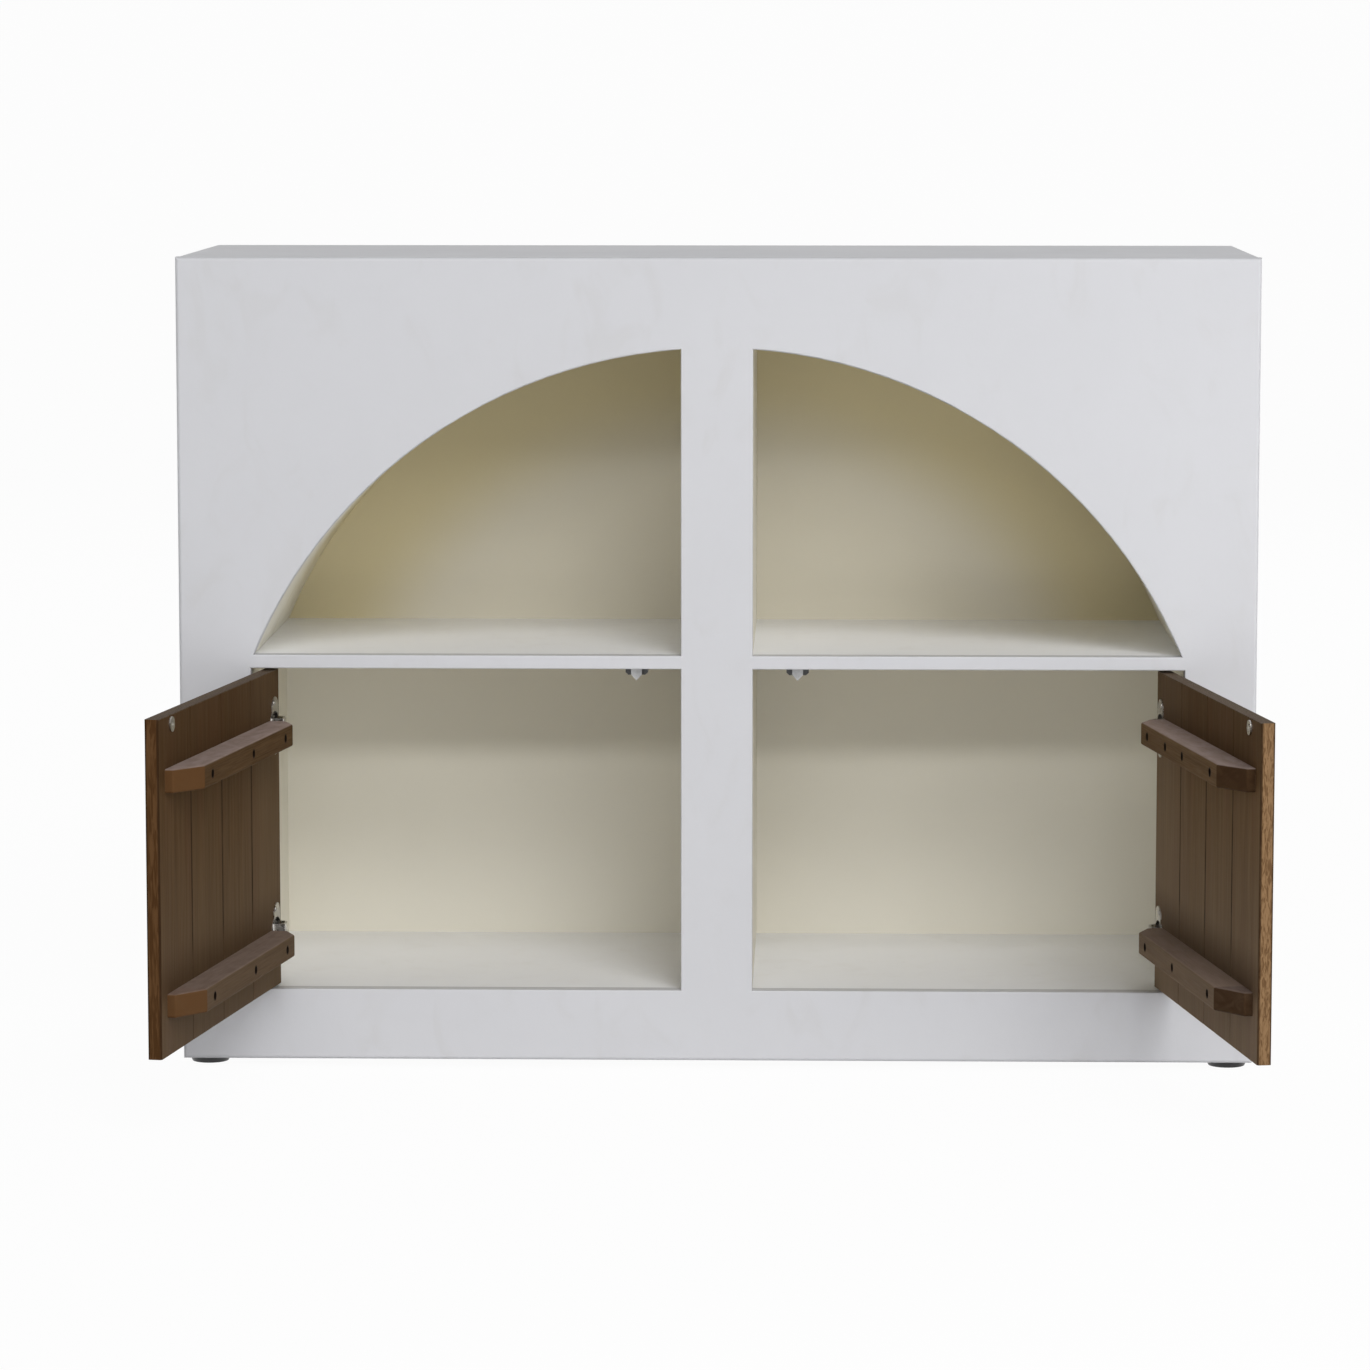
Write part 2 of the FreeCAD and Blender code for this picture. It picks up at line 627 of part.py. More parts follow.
for name, sign in SIDES:
    spot = (signed(sign, f"{JAMB} - pivot_inset"), "pivot_depth", DOOR_LOW, signed(sign, "open_angle"))

    def along(distance):
        """Place across the door, from the hinge edge, measured from the pin."""
        return signed(-sign, f"({distance}) - {HINGE_EDGE}")

    battens = (("upper", f"({DOOR_HEIGHT} - {name}_upper_drop)"), ("lower", f"{name}_lower_rise"))
    for index in range(4):
        plank = new_body(f"{name}_door_plank_{index + 1}", *spot)
        sketch = new_sketch(plank, "XY", "0")
        start = f"{PLANK_WIDTH} * {index}"
        stop = f"{PLANK_WIDTH} * {index + 1}"
        near = "door_edge_round" if index == 0 else "plank_groove"
        far = "door_edge_round" if index == 3 else "plank_groove"
        near_x, near_y = ("x", "y") if index == 0 else ("xy", "xy")
        far_x, far_y = ("x", "y") if index == 3 else ("xy", "xy")
        near_centre = along(f"{start} + {near}")
        far_centre = along(f"{stop} - {far}")
        outline = [
            (near_centre, OUTER_FACE, near_x),
            (far_centre, OUTER_FACE, far_x),
            (along(stop), f"{OUTER_FACE} + {far}", far_y),
            (along(stop), f"{INNER_FACE} - {far}", far_y),
            (far_centre, INNER_FACE, far_x),
            (near_centre, INNER_FACE, near_x),
            (along(start), f"{INNER_FACE} - {near}", near_y),
            (along(start), f"{OUTER_FACE} + {near}", near_y),
        ]
        rounds = {}
        if index == 3:
            rounds[1] = (far_centre, f"{OUTER_FACE} + {far}", far, sign < 0)
            rounds[3] = (far_centre, f"{INNER_FACE} - {far}", far, sign < 0)
        if index == 0:
            rounds[5] = (near_centre, f"{INNER_FACE} - {near}", near, sign < 0)
            rounds[7] = (near_centre, f"{OUTER_FACE} + {near}", near, sign < 0)
        draw_outline(sketch, outline, rounds)
        add_pad(plank, sketch, DOOR_HEIGHT)
        points = [
            (along(batten_screw_places(name, level)[index]), height)
            for level, height in battens
            if index in batten_screw_places(name, level)
        ]
        if points:
            drill(plank, "XZ", INNER_FACE, points, SHANK_HOLE, "batten_screw_grip", backwards=True)
        if index == 0:
            points = [(along("cup_centre"), height) for _, height in HINGES]
            bore = "cup_diameter + 2 * bore_clearance"
            drill(plank, "XZ", INNER_FACE, points, bore, "cup_depth + bore_clearance", backwards=True)
            points = [
                (along("cup_centre + cup_screw_offset"), f"{height} {step} cup_screw_spacing / 2")
                for _, height in HINGES
                for step in ("-", "+")
            ]
            drill(plank, "XZ", INNER_FACE, points, SMALL_HOLE, "small_screw_length", backwards=True)
        if index == 3:
            points = [(along(STRIKE_U), STRIKE_Z)]
            drill(plank, "XZ", INNER_FACE, points, SMALL_HOLE, "small_screw_length", backwards=True)

    batten_screws = []
    for level, height in battens:
        batten = new_body(f"{name}_door_{level}_batten", *spot)
        sketch = new_sketch(batten, "XY", f"{height} - batten_height / 2")
        end = f"{DOOR_WIDTH} - batten_end"
        outline = [
            (along("batten_hinge_end"), INNER_FACE),
            (along(end), INNER_FACE),
            (along(end), f"{INNER_FACE} + batten_blunt"),
            (along(FRONT_END), BATTEN_FACE),
            (along(FRONT_START), BATTEN_FACE),
            (along("batten_hinge_end"), f"{INNER_FACE} + {CUT_THICKNESS}"),
        ]
        draw_outline(sketch, outline)
        add_pad(batten, sketch, "batten_height")
        round_edges(batten, off_door, "batten_round")
        places = batten_screw_places(name, level).values()
        points = [(along(u), height) for u in places]
        recess = "wood_head_diameter + 8 * screw_clearance"
        drill(batten, "XZ", BATTEN_FACE, points, recess, "batten_recess_depth", backwards=True)
        drill(batten, "XZ", BATTEN_FACE, points, SHANK_HOLE, "batten_thickness", backwards=True)
        for u in places:
            point = (along(u), f"{BATTEN_FACE} - batten_recess_depth", height)
            length = "batten_thickness - batten_recess_depth + batten_screw_grip"
            batten_screws.append(screw("wood", length, point, (0, 1, 0)))
    new_group(f"{name}_batten_screws", batten_screws, *spot)

    # Cups let into the hinge plank, with a flange, two ears and the pin between them
    pins = []
    fitting_screws = []
    for level, height in HINGES:
        cup = new_body(f"{name}_{level}_hinge_cup", *spot)
        sketch = new_sketch(cup, "XZ", f"{INNER_FACE} - cup_depth")
        draw_circle(sketch, along("cup_centre"), height, "cup_diameter / 2")
        add_pad(cup, sketch, "cup_depth", backwards=True)
        sketch = new_sketch(cup, "XZ", INNER_FACE)
        middle = along("cup_centre - flange_shift")
        half = "flange_width / 2"
        bow = "(flange_length - flange_width) / 2"
        outline = [
            (f"{middle} - {half}", f"{height} - {bow}", "y"),
            (f"{middle} + {half}", f"{height} - {bow}", "y"),
            (f"{middle} + {half}", f"{height} + {bow}", "y"),
            (f"{middle} - {half}", f"{height} + {bow}", "y"),
        ]
        low_end = (middle, f"{height} - {bow}", half, True)
        high_end = (middle, f"{height} + {bow}", half, True)
        draw_outline(sketch, outline, {0: low_end, 2: high_end})
        add_pad(cup, sketch, "flange_thickness", backwards=True)
        bowl = "cup_diameter - 2 * cup_wall"
        surface = f"{INNER_FACE} + flange_thickness"
        depth = "cup_depth + flange_thickness - cup_wall"
        drill(cup, "XZ", surface, [(along("cup_centre"), height)], bowl, depth, backwards=True)
        screw_u = along("cup_centre + cup_screw_offset")
        points = [(screw_u, f"{height} {step} cup_screw_spacing / 2") for step in ("-", "+")]
        drill(cup, "XZ", surface, points, SMALL_HOLE, "flange_thickness", backwards=True)
        ear = rectangle(
            "-ear_width / 2", "ear_width / 2", f"{INNER_FACE} - cup_depth + cup_wall / 2", "ear_width / 2"
        )
        ear_rise = "(arm_width / 2 + ear_gap)"
        for foot in (f"{height} + {ear_rise}", f"{height} - {ear_rise} - ear_thickness"):
            sketch = new_sketch(cup, "XY", foot)
            draw_outline(sketch, ear)
            add_pad(cup, sketch, "ear_thickness")
        hole = "pin_diameter + pin_clearance"
        span = f"2 * {ear_rise} + 2 * ear_thickness"
        ear_foot = f"{height} - {ear_rise} - ear_thickness"
        drill(cup, "XY", ear_foot, [("0", "0")], hole, span, backwards=True)
        pin_low = FreeCAD.Vector(0, 0, number(ear_foot))
        pins.append(Part.makeCylinder(number("pin_diameter / 2"), number(span), pin_low))
        for x, z in points:
            fitting_screws.append(screw("small", "small_screw_length", (x, surface, z), (0, 1, 0)))
    new_group(f"{name}_hinge_pins", pins, *spot)

    # Strike: a round steel plate near the free top corner, which meets the catch head
    strike = new_body(f"{name}_strike_plate", *spot)
    sketch = new_sketch(strike, "XZ", INNER_FACE)
    draw_circle(sketch, along(STRIKE_U), STRIKE_Z, "strike_diameter / 2")
    add_pad(strike, sketch, "strike_thickness", backwards=True)
    strike_face = f"{INNER_FACE} + strike_thickness"
    strike_point = [(along(STRIKE_U), STRIKE_Z)]
    sink = "small_head_diameter + 2 * screw_clearance"
    drill(strike, "XZ", strike_face, strike_point, sink, "small_head_height", backwards=True)
    drill(strike, "XZ", strike_face, strike_point, SMALL_HOLE, "strike_thickness", backwards=True)
    seat = (along(STRIKE_U), f"{strike_face} - small_head_height", STRIKE_Z)
    fitting_screws.append(screw("small", "small_screw_length", seat, (0, 1, 0)))
    new_group(f"{name}_fitting_screws", fitting_screws, *spot)

doc.recompute()
for item in doc.Objects:
    if "Invalid" in item.State or "Error" in item.State:
        raise RuntimeError(f"{item.Label}: {item.State}")
for node in nodes:
    if node.Shape.isNull() or not node.Shape.isValid() or not node.Shape.Solids:
        raise RuntimeError(f"{node.Label}: no valid solid")
os.makedirs("parts", exist_ok=True)
for node in nodes:
    node.Shape.exportStep(f"parts/{node.Label}.step")
print(len(nodes), "nodes,", sum(len(node.Shape.Solids) for node in nodes), "solids")
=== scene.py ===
import json
import math

import bpy
import numpy as np
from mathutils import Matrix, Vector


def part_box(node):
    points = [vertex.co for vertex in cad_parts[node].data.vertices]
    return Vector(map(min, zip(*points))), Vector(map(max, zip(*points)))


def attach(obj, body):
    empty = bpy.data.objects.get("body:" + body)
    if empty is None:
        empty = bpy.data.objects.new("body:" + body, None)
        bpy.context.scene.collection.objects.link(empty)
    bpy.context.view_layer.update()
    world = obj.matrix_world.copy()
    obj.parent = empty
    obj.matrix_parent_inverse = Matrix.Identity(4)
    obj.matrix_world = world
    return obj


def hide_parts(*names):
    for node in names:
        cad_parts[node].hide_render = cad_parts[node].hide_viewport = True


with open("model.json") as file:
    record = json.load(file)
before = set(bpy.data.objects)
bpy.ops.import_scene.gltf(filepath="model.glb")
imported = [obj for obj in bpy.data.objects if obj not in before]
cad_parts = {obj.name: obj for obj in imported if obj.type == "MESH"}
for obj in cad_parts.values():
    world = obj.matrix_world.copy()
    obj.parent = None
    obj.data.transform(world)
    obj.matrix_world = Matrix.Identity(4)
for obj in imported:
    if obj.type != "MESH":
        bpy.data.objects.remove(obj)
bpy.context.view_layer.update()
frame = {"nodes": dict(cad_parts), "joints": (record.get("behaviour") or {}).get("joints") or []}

nodes = frame["nodes"]

# Front panel: one sheet of board with two doorways and two quarter-arch niches sawn in it, its
# edges eased by sanding. It is sprayed with satin off-white paint, a little soiled by hands.


def new_finish(name):
    """A node material, with its tree, its main shader and the piece's own coordinates."""
    finish = bpy.data.materials.new(name)
    finish.use_nodes = True
    tree = finish.node_tree
    place = tree.nodes.new("ShaderNodeTexCoord").outputs["Object"]
    return finish, tree, tree.nodes["Principled BSDF"], place


def add(tree, kind, inputs=None, output=0, **settings):
    """A shader node with its settings made and its inputs linked or set; gives one output."""
    node = tree.nodes.new("ShaderNode" + kind)
    for name, value in settings.items():
        setattr(node, name, value)
    for socket, value in (inputs or {}).items():
        if isinstance(value, bpy.types.NodeSocket):
            tree.links.new(value, node.inputs[socket])
        else:
            node.inputs[socket].default_value = value
    return node.outputs[output]


def cloud(tree, place, size, detail=3.0, distortion=0.0):
    """Uneven patches from 0 to 1, each about that size in metres along x, y and z."""
    scaled = add(tree, "Mapping", {"Vector": place, "Scale": [1 / length for length in size]})
    inputs = {"Vector": scaled, "Scale": 1.0, "Detail": detail, "Distortion": distortion}
    return add(tree, "TexNoise", inputs)


def spread(tree, value, low, high, out_low=0.0, out_high=1.0):
    """The value carried smoothly from one range to another and held at its ends."""
    ends = {"From Min": low, "From Max": high, "To Min": out_low, "To Max": out_high}
    return add(tree, "MapRange", {"Value": value, **ends}, interpolation_type="SMOOTHSTEP")


def combine(tree, operation, first, second=0.0):
    """One step of arithmetic on two numbers."""
    return add(tree, "Math", {0: first, 1: second}, operation=operation)


def tint(tree, share, under, over, mode="MIX"):
    """The under colour with the over colour laid on by share."""
    return add(tree, "Mix", {0: share, 6: under, 7: over}, 2, data_type="RGBA", blend_type=mode)


def shades(tree, value, stops):
    """A colour taken from a row of (place, colour) stops by the value."""
    output = add(tree, "ValToRGB", {"Fac": value})
    row = output.node.color_ramp.elements
    for number, (stop, colour) in enumerate(stops):
        step = row[number] if number < 2 else row.new(stop)
        step.position = stop
        step.color = (*colour, 1.0)
    return output


def relief(tree, height, depth, over=None):
    """A bumped normal from a height of 0 to 1 and a depth in metres, laid over another normal."""
    inputs = {"Height": height, "Distance": depth, "Strength": 1.0}
    if over is not None:
        inputs["Normal"] = over
    return add(tree, "Bump", inputs)


def dress(finish, *names):
    """Puts the finish on CAD nodes, whose shapes stay as they are."""
    for name in names:
        nodes[name].data.materials.clear()
        nodes[name].data.materials.append(finish)


def paint(name, colour, soiled, soil, second=None, where=None):
    """Satin paint: cloudy tone, smudges, a few scuffs and spray grain; a second colour somewhere."""
    finish, tree, shader, place = new_finish(name)
    patches = cloud(tree, place, (0.16, 0.16, 0.16), 4.0, 0.6)
    smudges = spread(tree, cloud(tree, place, (0.05, 0.05, 0.09), 5.0, 1.2), 0.50, 0.78)
    scuffs = spread(tree, cloud(tree, place, (0.004, 0.004, 0.03), 4.0, 2.0), 0.70, 0.80)
    pale = tint(tree, patches, (*colour, 1.0), (*[part * 0.96 for part in colour], 1.0))
    handled = tint(tree, combine(tree, "MULTIPLY", smudges, soil), pale, (*soiled, 1.0))
    marked = tint(tree, combine(tree, "MULTIPLY", scuffs, soil), handled, (*soiled, 1.0))
    if where is not None:
        marked = tint(tree, where(tree, place), marked, (*second, 1.0))
    tree.links.new(marked, shader.inputs["Base Color"])
    tree.links.new(spread(tree, patches, 0.2, 0.8, 0.46, 0.53), shader.inputs["Roughness"])
    grain = cloud(tree, place, (0.0016, 0.0016, 0.0016), 2.0)
    rolled = cloud(tree, place, (0.011, 0.011, 0.011), 2.0)
    sprayed = relief(tree, rolled, 0.00012)
    tree.links.new(relief(tree, grain, 0.00003, sprayed), shader.inputs["Normal"])
    shader.inputs["Specular IOR Level"].default_value = 0.4
    return finish


OFF_WHITE = (0.600, 0.603, 0.628)
HAND_SOIL = (0.50, 0.49, 0.48)
outer_paint = paint("outer_paint", OFF_WHITE, HAND_SOIL, 0.20)
dress(outer_paint, "front_panel")

# Sides and top: plain boards glued behind the front panel, in the same sprayed paint.
# The top is rounded over at its three open edges.
dress(outer_paint, "left_side_panel", "right_side_panel", "top_panel")

# Inner walls: jambs beside the doors, both cheeks of the hollow centre post and the bent
# soffits of the arch, all brushed cream before assembly. On the soffits the cream is painted
# pale at the mouth and yellower and darker inwards and up the arch: painted light and shade.
CREAM = (0.775, 0.745, 0.650)
CREAM_SOIL = (0.56, 0.51, 0.40)
PALE_CREAM = (0.800, 0.775, 0.680)
# Painted shade colour: the dark yellow deep in the soffits and under the shelves.
SHADE_YELLOW = (0.640, 0.565, 0.370)
YELLOW_SOIL = (0.50, 0.43, 0.27)
FRONT_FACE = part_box("front_panel")[0].y
SHELF_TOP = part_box("left_shelf")[1].z


def painted_shade_inward(tree, place):
    """0 at a niche's mouth and along its shelf, growing to 1 towards the back and up the arch."""
    depth = add(tree, "SeparateXYZ", {0: place}, 1)
    up = add(tree, "SeparateXYZ", {0: place}, 2)
    deep = spread(tree, depth, FRONT_FACE + 0.04, FRONT_FACE + 0.30)
    high = spread(tree, up, SHELF_TOP, SHELF_TOP + 0.12)
    return combine(tree, "MULTIPLY", deep, high)


inner_paint = paint("inner_paint", CREAM, CREAM_SOIL, 0.26)
# The soffits are painted pale at the mouth and yellower and darker inwards: painted light and shade.
soffit_paint = paint("soffit_paint", PALE_CREAM, YELLOW_SOIL, 0.26, SHADE_YELLOW, painted_shade_inward)
for side in ("left", "right"):
    dress(inner_paint, f"{side}_jamb_panel", f"{side}_post_panel")
    dress(soffit_paint, f"{side}_arch_soffit")

# Back panel: thin board screwed on from behind into the sides, post, rib and rear rail. Its
# inner face has the cream paint and its outer face is bare pressed board with a felted grain.
ARCH_CENTRE = 0.2487
ARCH_RADIUS = 0.5613
# Painted shade: the niches' back is toned darker and yellower, most in a band under the arch.
NICHE_SHADE_TONE = (0.93, 0.91, 0.86, 1.0)
ARCH_SHADE_TONE = (0.90, 0.83, 0.60, 1.0)
DARK_FIBRE = (0.20, 0.12, 0.06)
PALE_FIBRE = (0.36, 0.235, 0.13)
CLOUDED_FIBRE = (0.21, 0.128, 0.070, 1.0)


def pressed_back(name):
    """Cream in front with painted shade, darker and yellowest towards the arch; off-white at the edges,
    felted brown fibre behind.
    """
    finish, tree, shader, place = new_finish(name)
    patches = cloud(tree, place, (0.16, 0.16, 0.16), 4.0, 0.6)
    painted = tint(tree, patches, (*CREAM, 1.0), (*[part * 0.95 for part in CREAM], 1.0))
    flat = add(tree, "VectorMath", {0: place, 1: (1.0, 0.0, 1.0)}, operation="MULTIPLY")
    arch_middle = {0: flat, 1: (0.0, 0.0, ARCH_CENTRE)}
    out = add(tree, "VectorMath", arch_middle, "Value", operation="DISTANCE")
    under_arch = spread(tree, out, ARCH_RADIUS - 0.16, ARCH_RADIUS - 0.05)
    tone = tint(tree, under_arch, NICHE_SHADE_TONE, ARCH_SHADE_TONE)
    up = add(tree, "SeparateXYZ", {0: place}, 2)
    in_niche = spread(tree, up, SHELF_TOP - 0.012, SHELF_TOP - 0.003)
    # Painted shade tone laid over the cream above the shelf.
    painted = tint(tree, in_niche, painted, tone, "MULTIPLY")
    facing = add(tree, "SeparateXYZ", {0: add(tree, "TexCoord", output="Normal")}, 1)
    painted = tint(tree, spread(tree, facing, -0.8, -0.5), painted, (*OFF_WHITE, 1.0))
    felt = cloud(tree, place, (0.006, 0.006, 0.0025), 6.0, 1.5)
    clouds = cloud(tree, place, (0.25, 0.25, 0.12), 3.0)
    brown = shades(tree, felt, [(0.3, DARK_FIBRE), (0.7, PALE_FIBRE)])
    brown = tint(tree, spread(tree, clouds, 0.3, 0.7, 0.0, 0.6), brown, CLOUDED_FIBRE)
    behind = spread(tree, facing, 0.3, 0.6)
    tree.links.new(tint(tree, behind, painted, brown), shader.inputs["Base Color"])
    shader.inputs["Roughness"].default_value = 0.62
    tree.links.new(relief(tree, felt, 0.0001), shader.inputs["Normal"])
    return finish


def plated(name, colour, roughness, streak):
    """Bright plating: fine drawn streaks, faint dull patches and a darker tone in them."""
    finish, tree, shader, place = new_finish(name)
    drawn = cloud(tree, place, streak, 3.0)
    dull = cloud(tree, place, (0.010, 0.010, 0.010), 3.0)
    tone = shades(tree, drawn, [(0.3, [part * 0.82 for part in colour]), (0.7, colour)])
    tree.links.new(tone, shader.inputs["Base Color"])
    low, high = roughness
    tree.links.new(spread(tree, dull, 0.3, 0.75, low, high), shader.inputs["Roughness"])
    shader.inputs["Metallic"].default_value = 1.0
    tree.links.new(relief(tree, drawn, 0.00001), shader.inputs["Normal"])
    return finish


POINTS_AROUND = 40
HEAD_RINGS = 15
RINGS_A_PITCH = 5


def screws(name, seats, outward, head, height, shank, length, sink=0.0):
    """Screws turned about their axes, over (ring, angle), one at each seat.

    A domed head, 1 - 0.4 s^3 of its height at s of its radius, has a cross pressed in where the
    nearer of the two arms' middles is within an eighth of the radius. Under it, a cone as deep as
    sink or a flat leads to a shank whose radius rises and falls once a pitch as it winds to a point.
    """
    around = np.linspace(0, 2 * np.pi, POINTS_AROUND, endpoint=False)[None, :]
    out = np.linspace(0.07, 1.0, HEAD_RINGS)[:, None]
    across = out * np.minimum(abs(np.cos(around)), abs(np.sin(around)))
    along = out * np.maximum(abs(np.cos(around)), abs(np.sin(around)))
    cross = np.clip((0.125 - across) / 0.05 + 0.5, 0, 1) * np.clip((0.6 - along) / 0.1 + 0.5, 0, 1)
    dome_rise = height * (1 - 0.4 * out**3) - 0.55 * max(height, 0.3 * sink) * cross
    dome_reach = head * out + 0 * around
    pitch = 0.9 * shank
    down = np.arange(max(sink, 0.1 * shank), length, pitch / RINGS_A_PITCH)[:, None]
    winding = (down / pitch + around / (2 * np.pi)) % 1.0
    point = np.clip((length - down) / (2.5 * shank), 0.06, 1)
    shank_reach = shank * (0.8 + 0.2 * abs(2 * winding - 1)) * point
    rim_reach = np.array([[head], [0.8 * shank]]) + 0 * around
    rim_rise = np.array([[0.0], [-sink]]) + 0 * around
    reach = np.concatenate([dome_reach, rim_reach, shank_reach])
    rise = np.concatenate([dome_rise, rim_rise, -down + 0 * around])
    seats = np.asarray(seats, float)
    axes = np.broadcast_to(np.asarray(outward, float), seats.shape)
    upright = abs(axes[:, 2:]) > 0.9
    side_axes = np.cross(np.where(upright, (0.0, 1.0, 0.0), (0.0, 0.0, 1.0)), axes)
    third_axes = np.cross(axes, side_axes)
    turned_by = 2.4 * np.arange(len(seats))[:, None, None]
    flat_x = (reach * np.cos(around + turned_by))[..., None]
    flat_y = (reach * np.sin(around + turned_by))[..., None]
    spin = flat_x * side_axes[:, None, None] + flat_y * third_axes[:, None, None]
    rings = seats[:, None, None] + spin + rise[None, :, :, None] * axes[:, None, None]
    return closed_rings(name, rings)


def closed_rings(name, rings):
    """A mesh from (copies, rings, points around): quads between rings and a fan over each end."""
    copies, count, around, _ = rings.shape
    corner = np.arange(count * around).reshape(count, around)
    after = np.roll(corner, -1, axis=1)
    quads = np.stack([corner[:-1], corner[1:], after[1:], after[:-1]], axis=-1).reshape(-1, 4)
    first = np.full(around, count * around)
    top = np.stack([first, corner[0], after[0]], axis=-1)
    tip = np.stack([first + 1, after[-1], corner[-1]], axis=-1)
    ends = np.stack([rings[:, 0].mean(1), rings[:, -1].mean(1)], axis=1)
    points = np.concatenate([rings.reshape(copies, -1, 3), ends], axis=1)
    step = (np.arange(copies) * points.shape[1])[:, None, None]
    fans = np.concatenate([top, tip])
    faces = (quads + step).reshape(-1, 4).tolist() + (fans + step).reshape(-1, 3).tolist()
    mesh = bpy.data.meshes.new(name)
    mesh.from_pydata(points.reshape(-1, 3).tolist(), [], faces)
    mesh.shade_smooth()
    piece = bpy.data.objects.new(name, mesh)
    bpy.context.scene.collection.objects.link(piece)
    return piece


def fasten(piece, body, finish, *replaced):
    """Gives the screws their finish, sets them on a body and lets them stand for CAD nodes."""
    piece.data.materials.append(finish)
    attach(piece, body)
    if replaced:
        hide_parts(*replaced)


dress(pressed_back("pressed_back"), "back_panel")
zinc = plated("zinc_plate", (0.60, 0.60, 0.59), (0.30, 0.5), (0.0006, 0.0006, 0.004))
HALF_PANEL = 0.009
SIDE_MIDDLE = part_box("right_side_panel")[1].x - HALF_PANEL
SIDE_HEIGHTS = (0.13, 0.31, 0.49, 0.67, 0.85)
POST_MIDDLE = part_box("right_post_panel")[1].x - HALF_PANEL
POST_HEIGHTS = (0.16, 0.38, 0.60, 0.82)
RAIL_HEIGHTS = (0.04, 0.875)
RAIL_PLACES = (-0.50, -0.30, -0.10, 0.10, 0.30, 0.50)
BACK_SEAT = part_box("back_panel")[1].y - 0.0001
BACK_SCREW = (0.0036, 0.0002, 0.0018)
BACK_SCREW_LENGTH = 0.022
BACK_SCREW_SINK = 0.0024
back_rows = [(x, z) for x in (-SIDE_MIDDLE, SIDE_MIDDLE) for z in SIDE_HEIGHTS]
back_rows += [(x, z) for x in (-POST_MIDDLE, POST_MIDDLE) for z in POST_HEIGHTS]
back_rows += [(x, z) for z in RAIL_HEIGHTS for x in RAIL_PLACES]
back_seats = [(x, BACK_SEAT, z) for x, z in back_rows]
back_screws = screws(
    "back_screws", back_seats, (0, 1, 0), *BACK_SCREW, BACK_SCREW_LENGTH, sink=BACK_SCREW_SINK
)
fasten(back_screws, "carcass", zinc)

# Shelves and cupboard floor: boards let in between the walls, behind the front panel. Their
# paint is made whiter than the walls' cream as painted light on their tops, and faces that look
# down are painted a darker yellow as painted shade.
LIT_WHITE = (0.935, 0.945, 0.970)
WHITE_SOIL = (0.74, 0.72, 0.70)


def shaded_underside(tree, _):
    """1 where the face looks down, otherwise 0."""
    facing = add(tree, "SeparateXYZ", {0: add(tree, "TexCoord", output="Normal")}, 2)
    return spread(tree, facing, -0.5, -0.8)


# Painted light and shade: boards painted whiter, faces looking down a darker yellow.
shelf_paint = paint("shelf_paint", LIT_WHITE, WHITE_SOIL, 0.16, SHADE_YELLOW, shaded_underside)
dress(shelf_paint, "left_shelf", "right_shelf", "cupboard_floor")

# Ribs, base rails and corner blocks: unpainted softwood and board, out of sight behind the
# soffits and under the floor, glued and left as they came from the saw.
SAWN_SHADES = [(0.25, (0.46, 0.31, 0.17)), (0.75, (0.66, 0.50, 0.31)), (0.5, (0.60, 0.44, 0.27))]
SAW_FUZZ = (0.36, 0.24, 0.14, 1.0)


def sawn_wood(name):
    """Pale softwood: growth bands across the board, drawn out along x, with saw fuzz."""
    finish, tree, shader, place = new_finish(name)
    bands = cloud(tree, place, (0.25, 0.012, 0.012), 4.0, 0.8)
    fuzz = cloud(tree, place, (0.02, 0.0012, 0.0012), 3.0)
    colour = shades(tree, bands, SAWN_SHADES)
    fuzzy = spread(tree, fuzz, 0.45, 0.8, 0.0, 0.5)
    tree.links.new(tint(tree, fuzzy, colour, SAW_FUZZ), shader.inputs["Base Color"])
    shader.inputs["Roughness"].default_value = 0.72
    tree.links.new(relief(tree, fuzz, 0.0002), shader.inputs["Normal"])
    return finish


sawn = sawn_wood("sawn_wood")
dress(sawn, "left_arch_rib", "right_arch_rib", "rear_base_rail", "middle_base_rail", "corner_blocks")

# Feet: four black moulded glides under the corners, each held by one sunk screw.
# The same moulded black is used for the catches under the shelves.
BLACK = (0.011, 0.011, 0.012, 1.0)
SCUFFED_BLACK = (0.035, 0.034, 0.033, 1.0)


def moulded_black(name):
    """Black plastic with a fine leathery grain and slightly greyed, scuffed patches."""
    finish, tree, shader, place = new_finish(name)
    scuffs = spread(tree, cloud(tree, place, (0.006, 0.006, 0.012), 4.0, 1.0), 0.52, 0.75)
    tree.links.new(tint(tree, scuffs, BLACK, SCUFFED_BLACK), shader.inputs["Base Color"])
    tree.links.new(spread(tree, scuffs, 0.0, 1.0, 0.36, 0.55), shader.inputs["Roughness"])
    grain = cloud(tree, place, (0.0008, 0.0008, 0.0008), 2.0)
    tree.links.new(relief(tree, grain, 0.00004), shader.inputs["Normal"])
    return finish


moulded = moulded_black("moulded_black")
dress(moulded, "foot_glides")
FOOT_X = 0.575
FOOT_DEPTHS = (0.046, 0.346)
FOOT_SEAT = 0.005
FOOT_SCREW_LENGTH = 0.024
WOOD_SCREW = (0.0038, 0.0026, 0.0020)
foot_seats = [(x, FRONT_FACE + depth, FOOT_SEAT) for x in (-FOOT_X, FOOT_X) for depth in FOOT_DEPTHS]
foot_screws = screws("foot_screw_set", foot_seats, (0, 0, -1), *WOOD_SCREW, FOOT_SCREW_LENGTH)
fasten(foot_screws, "carcass", zinc, "foot_screws")

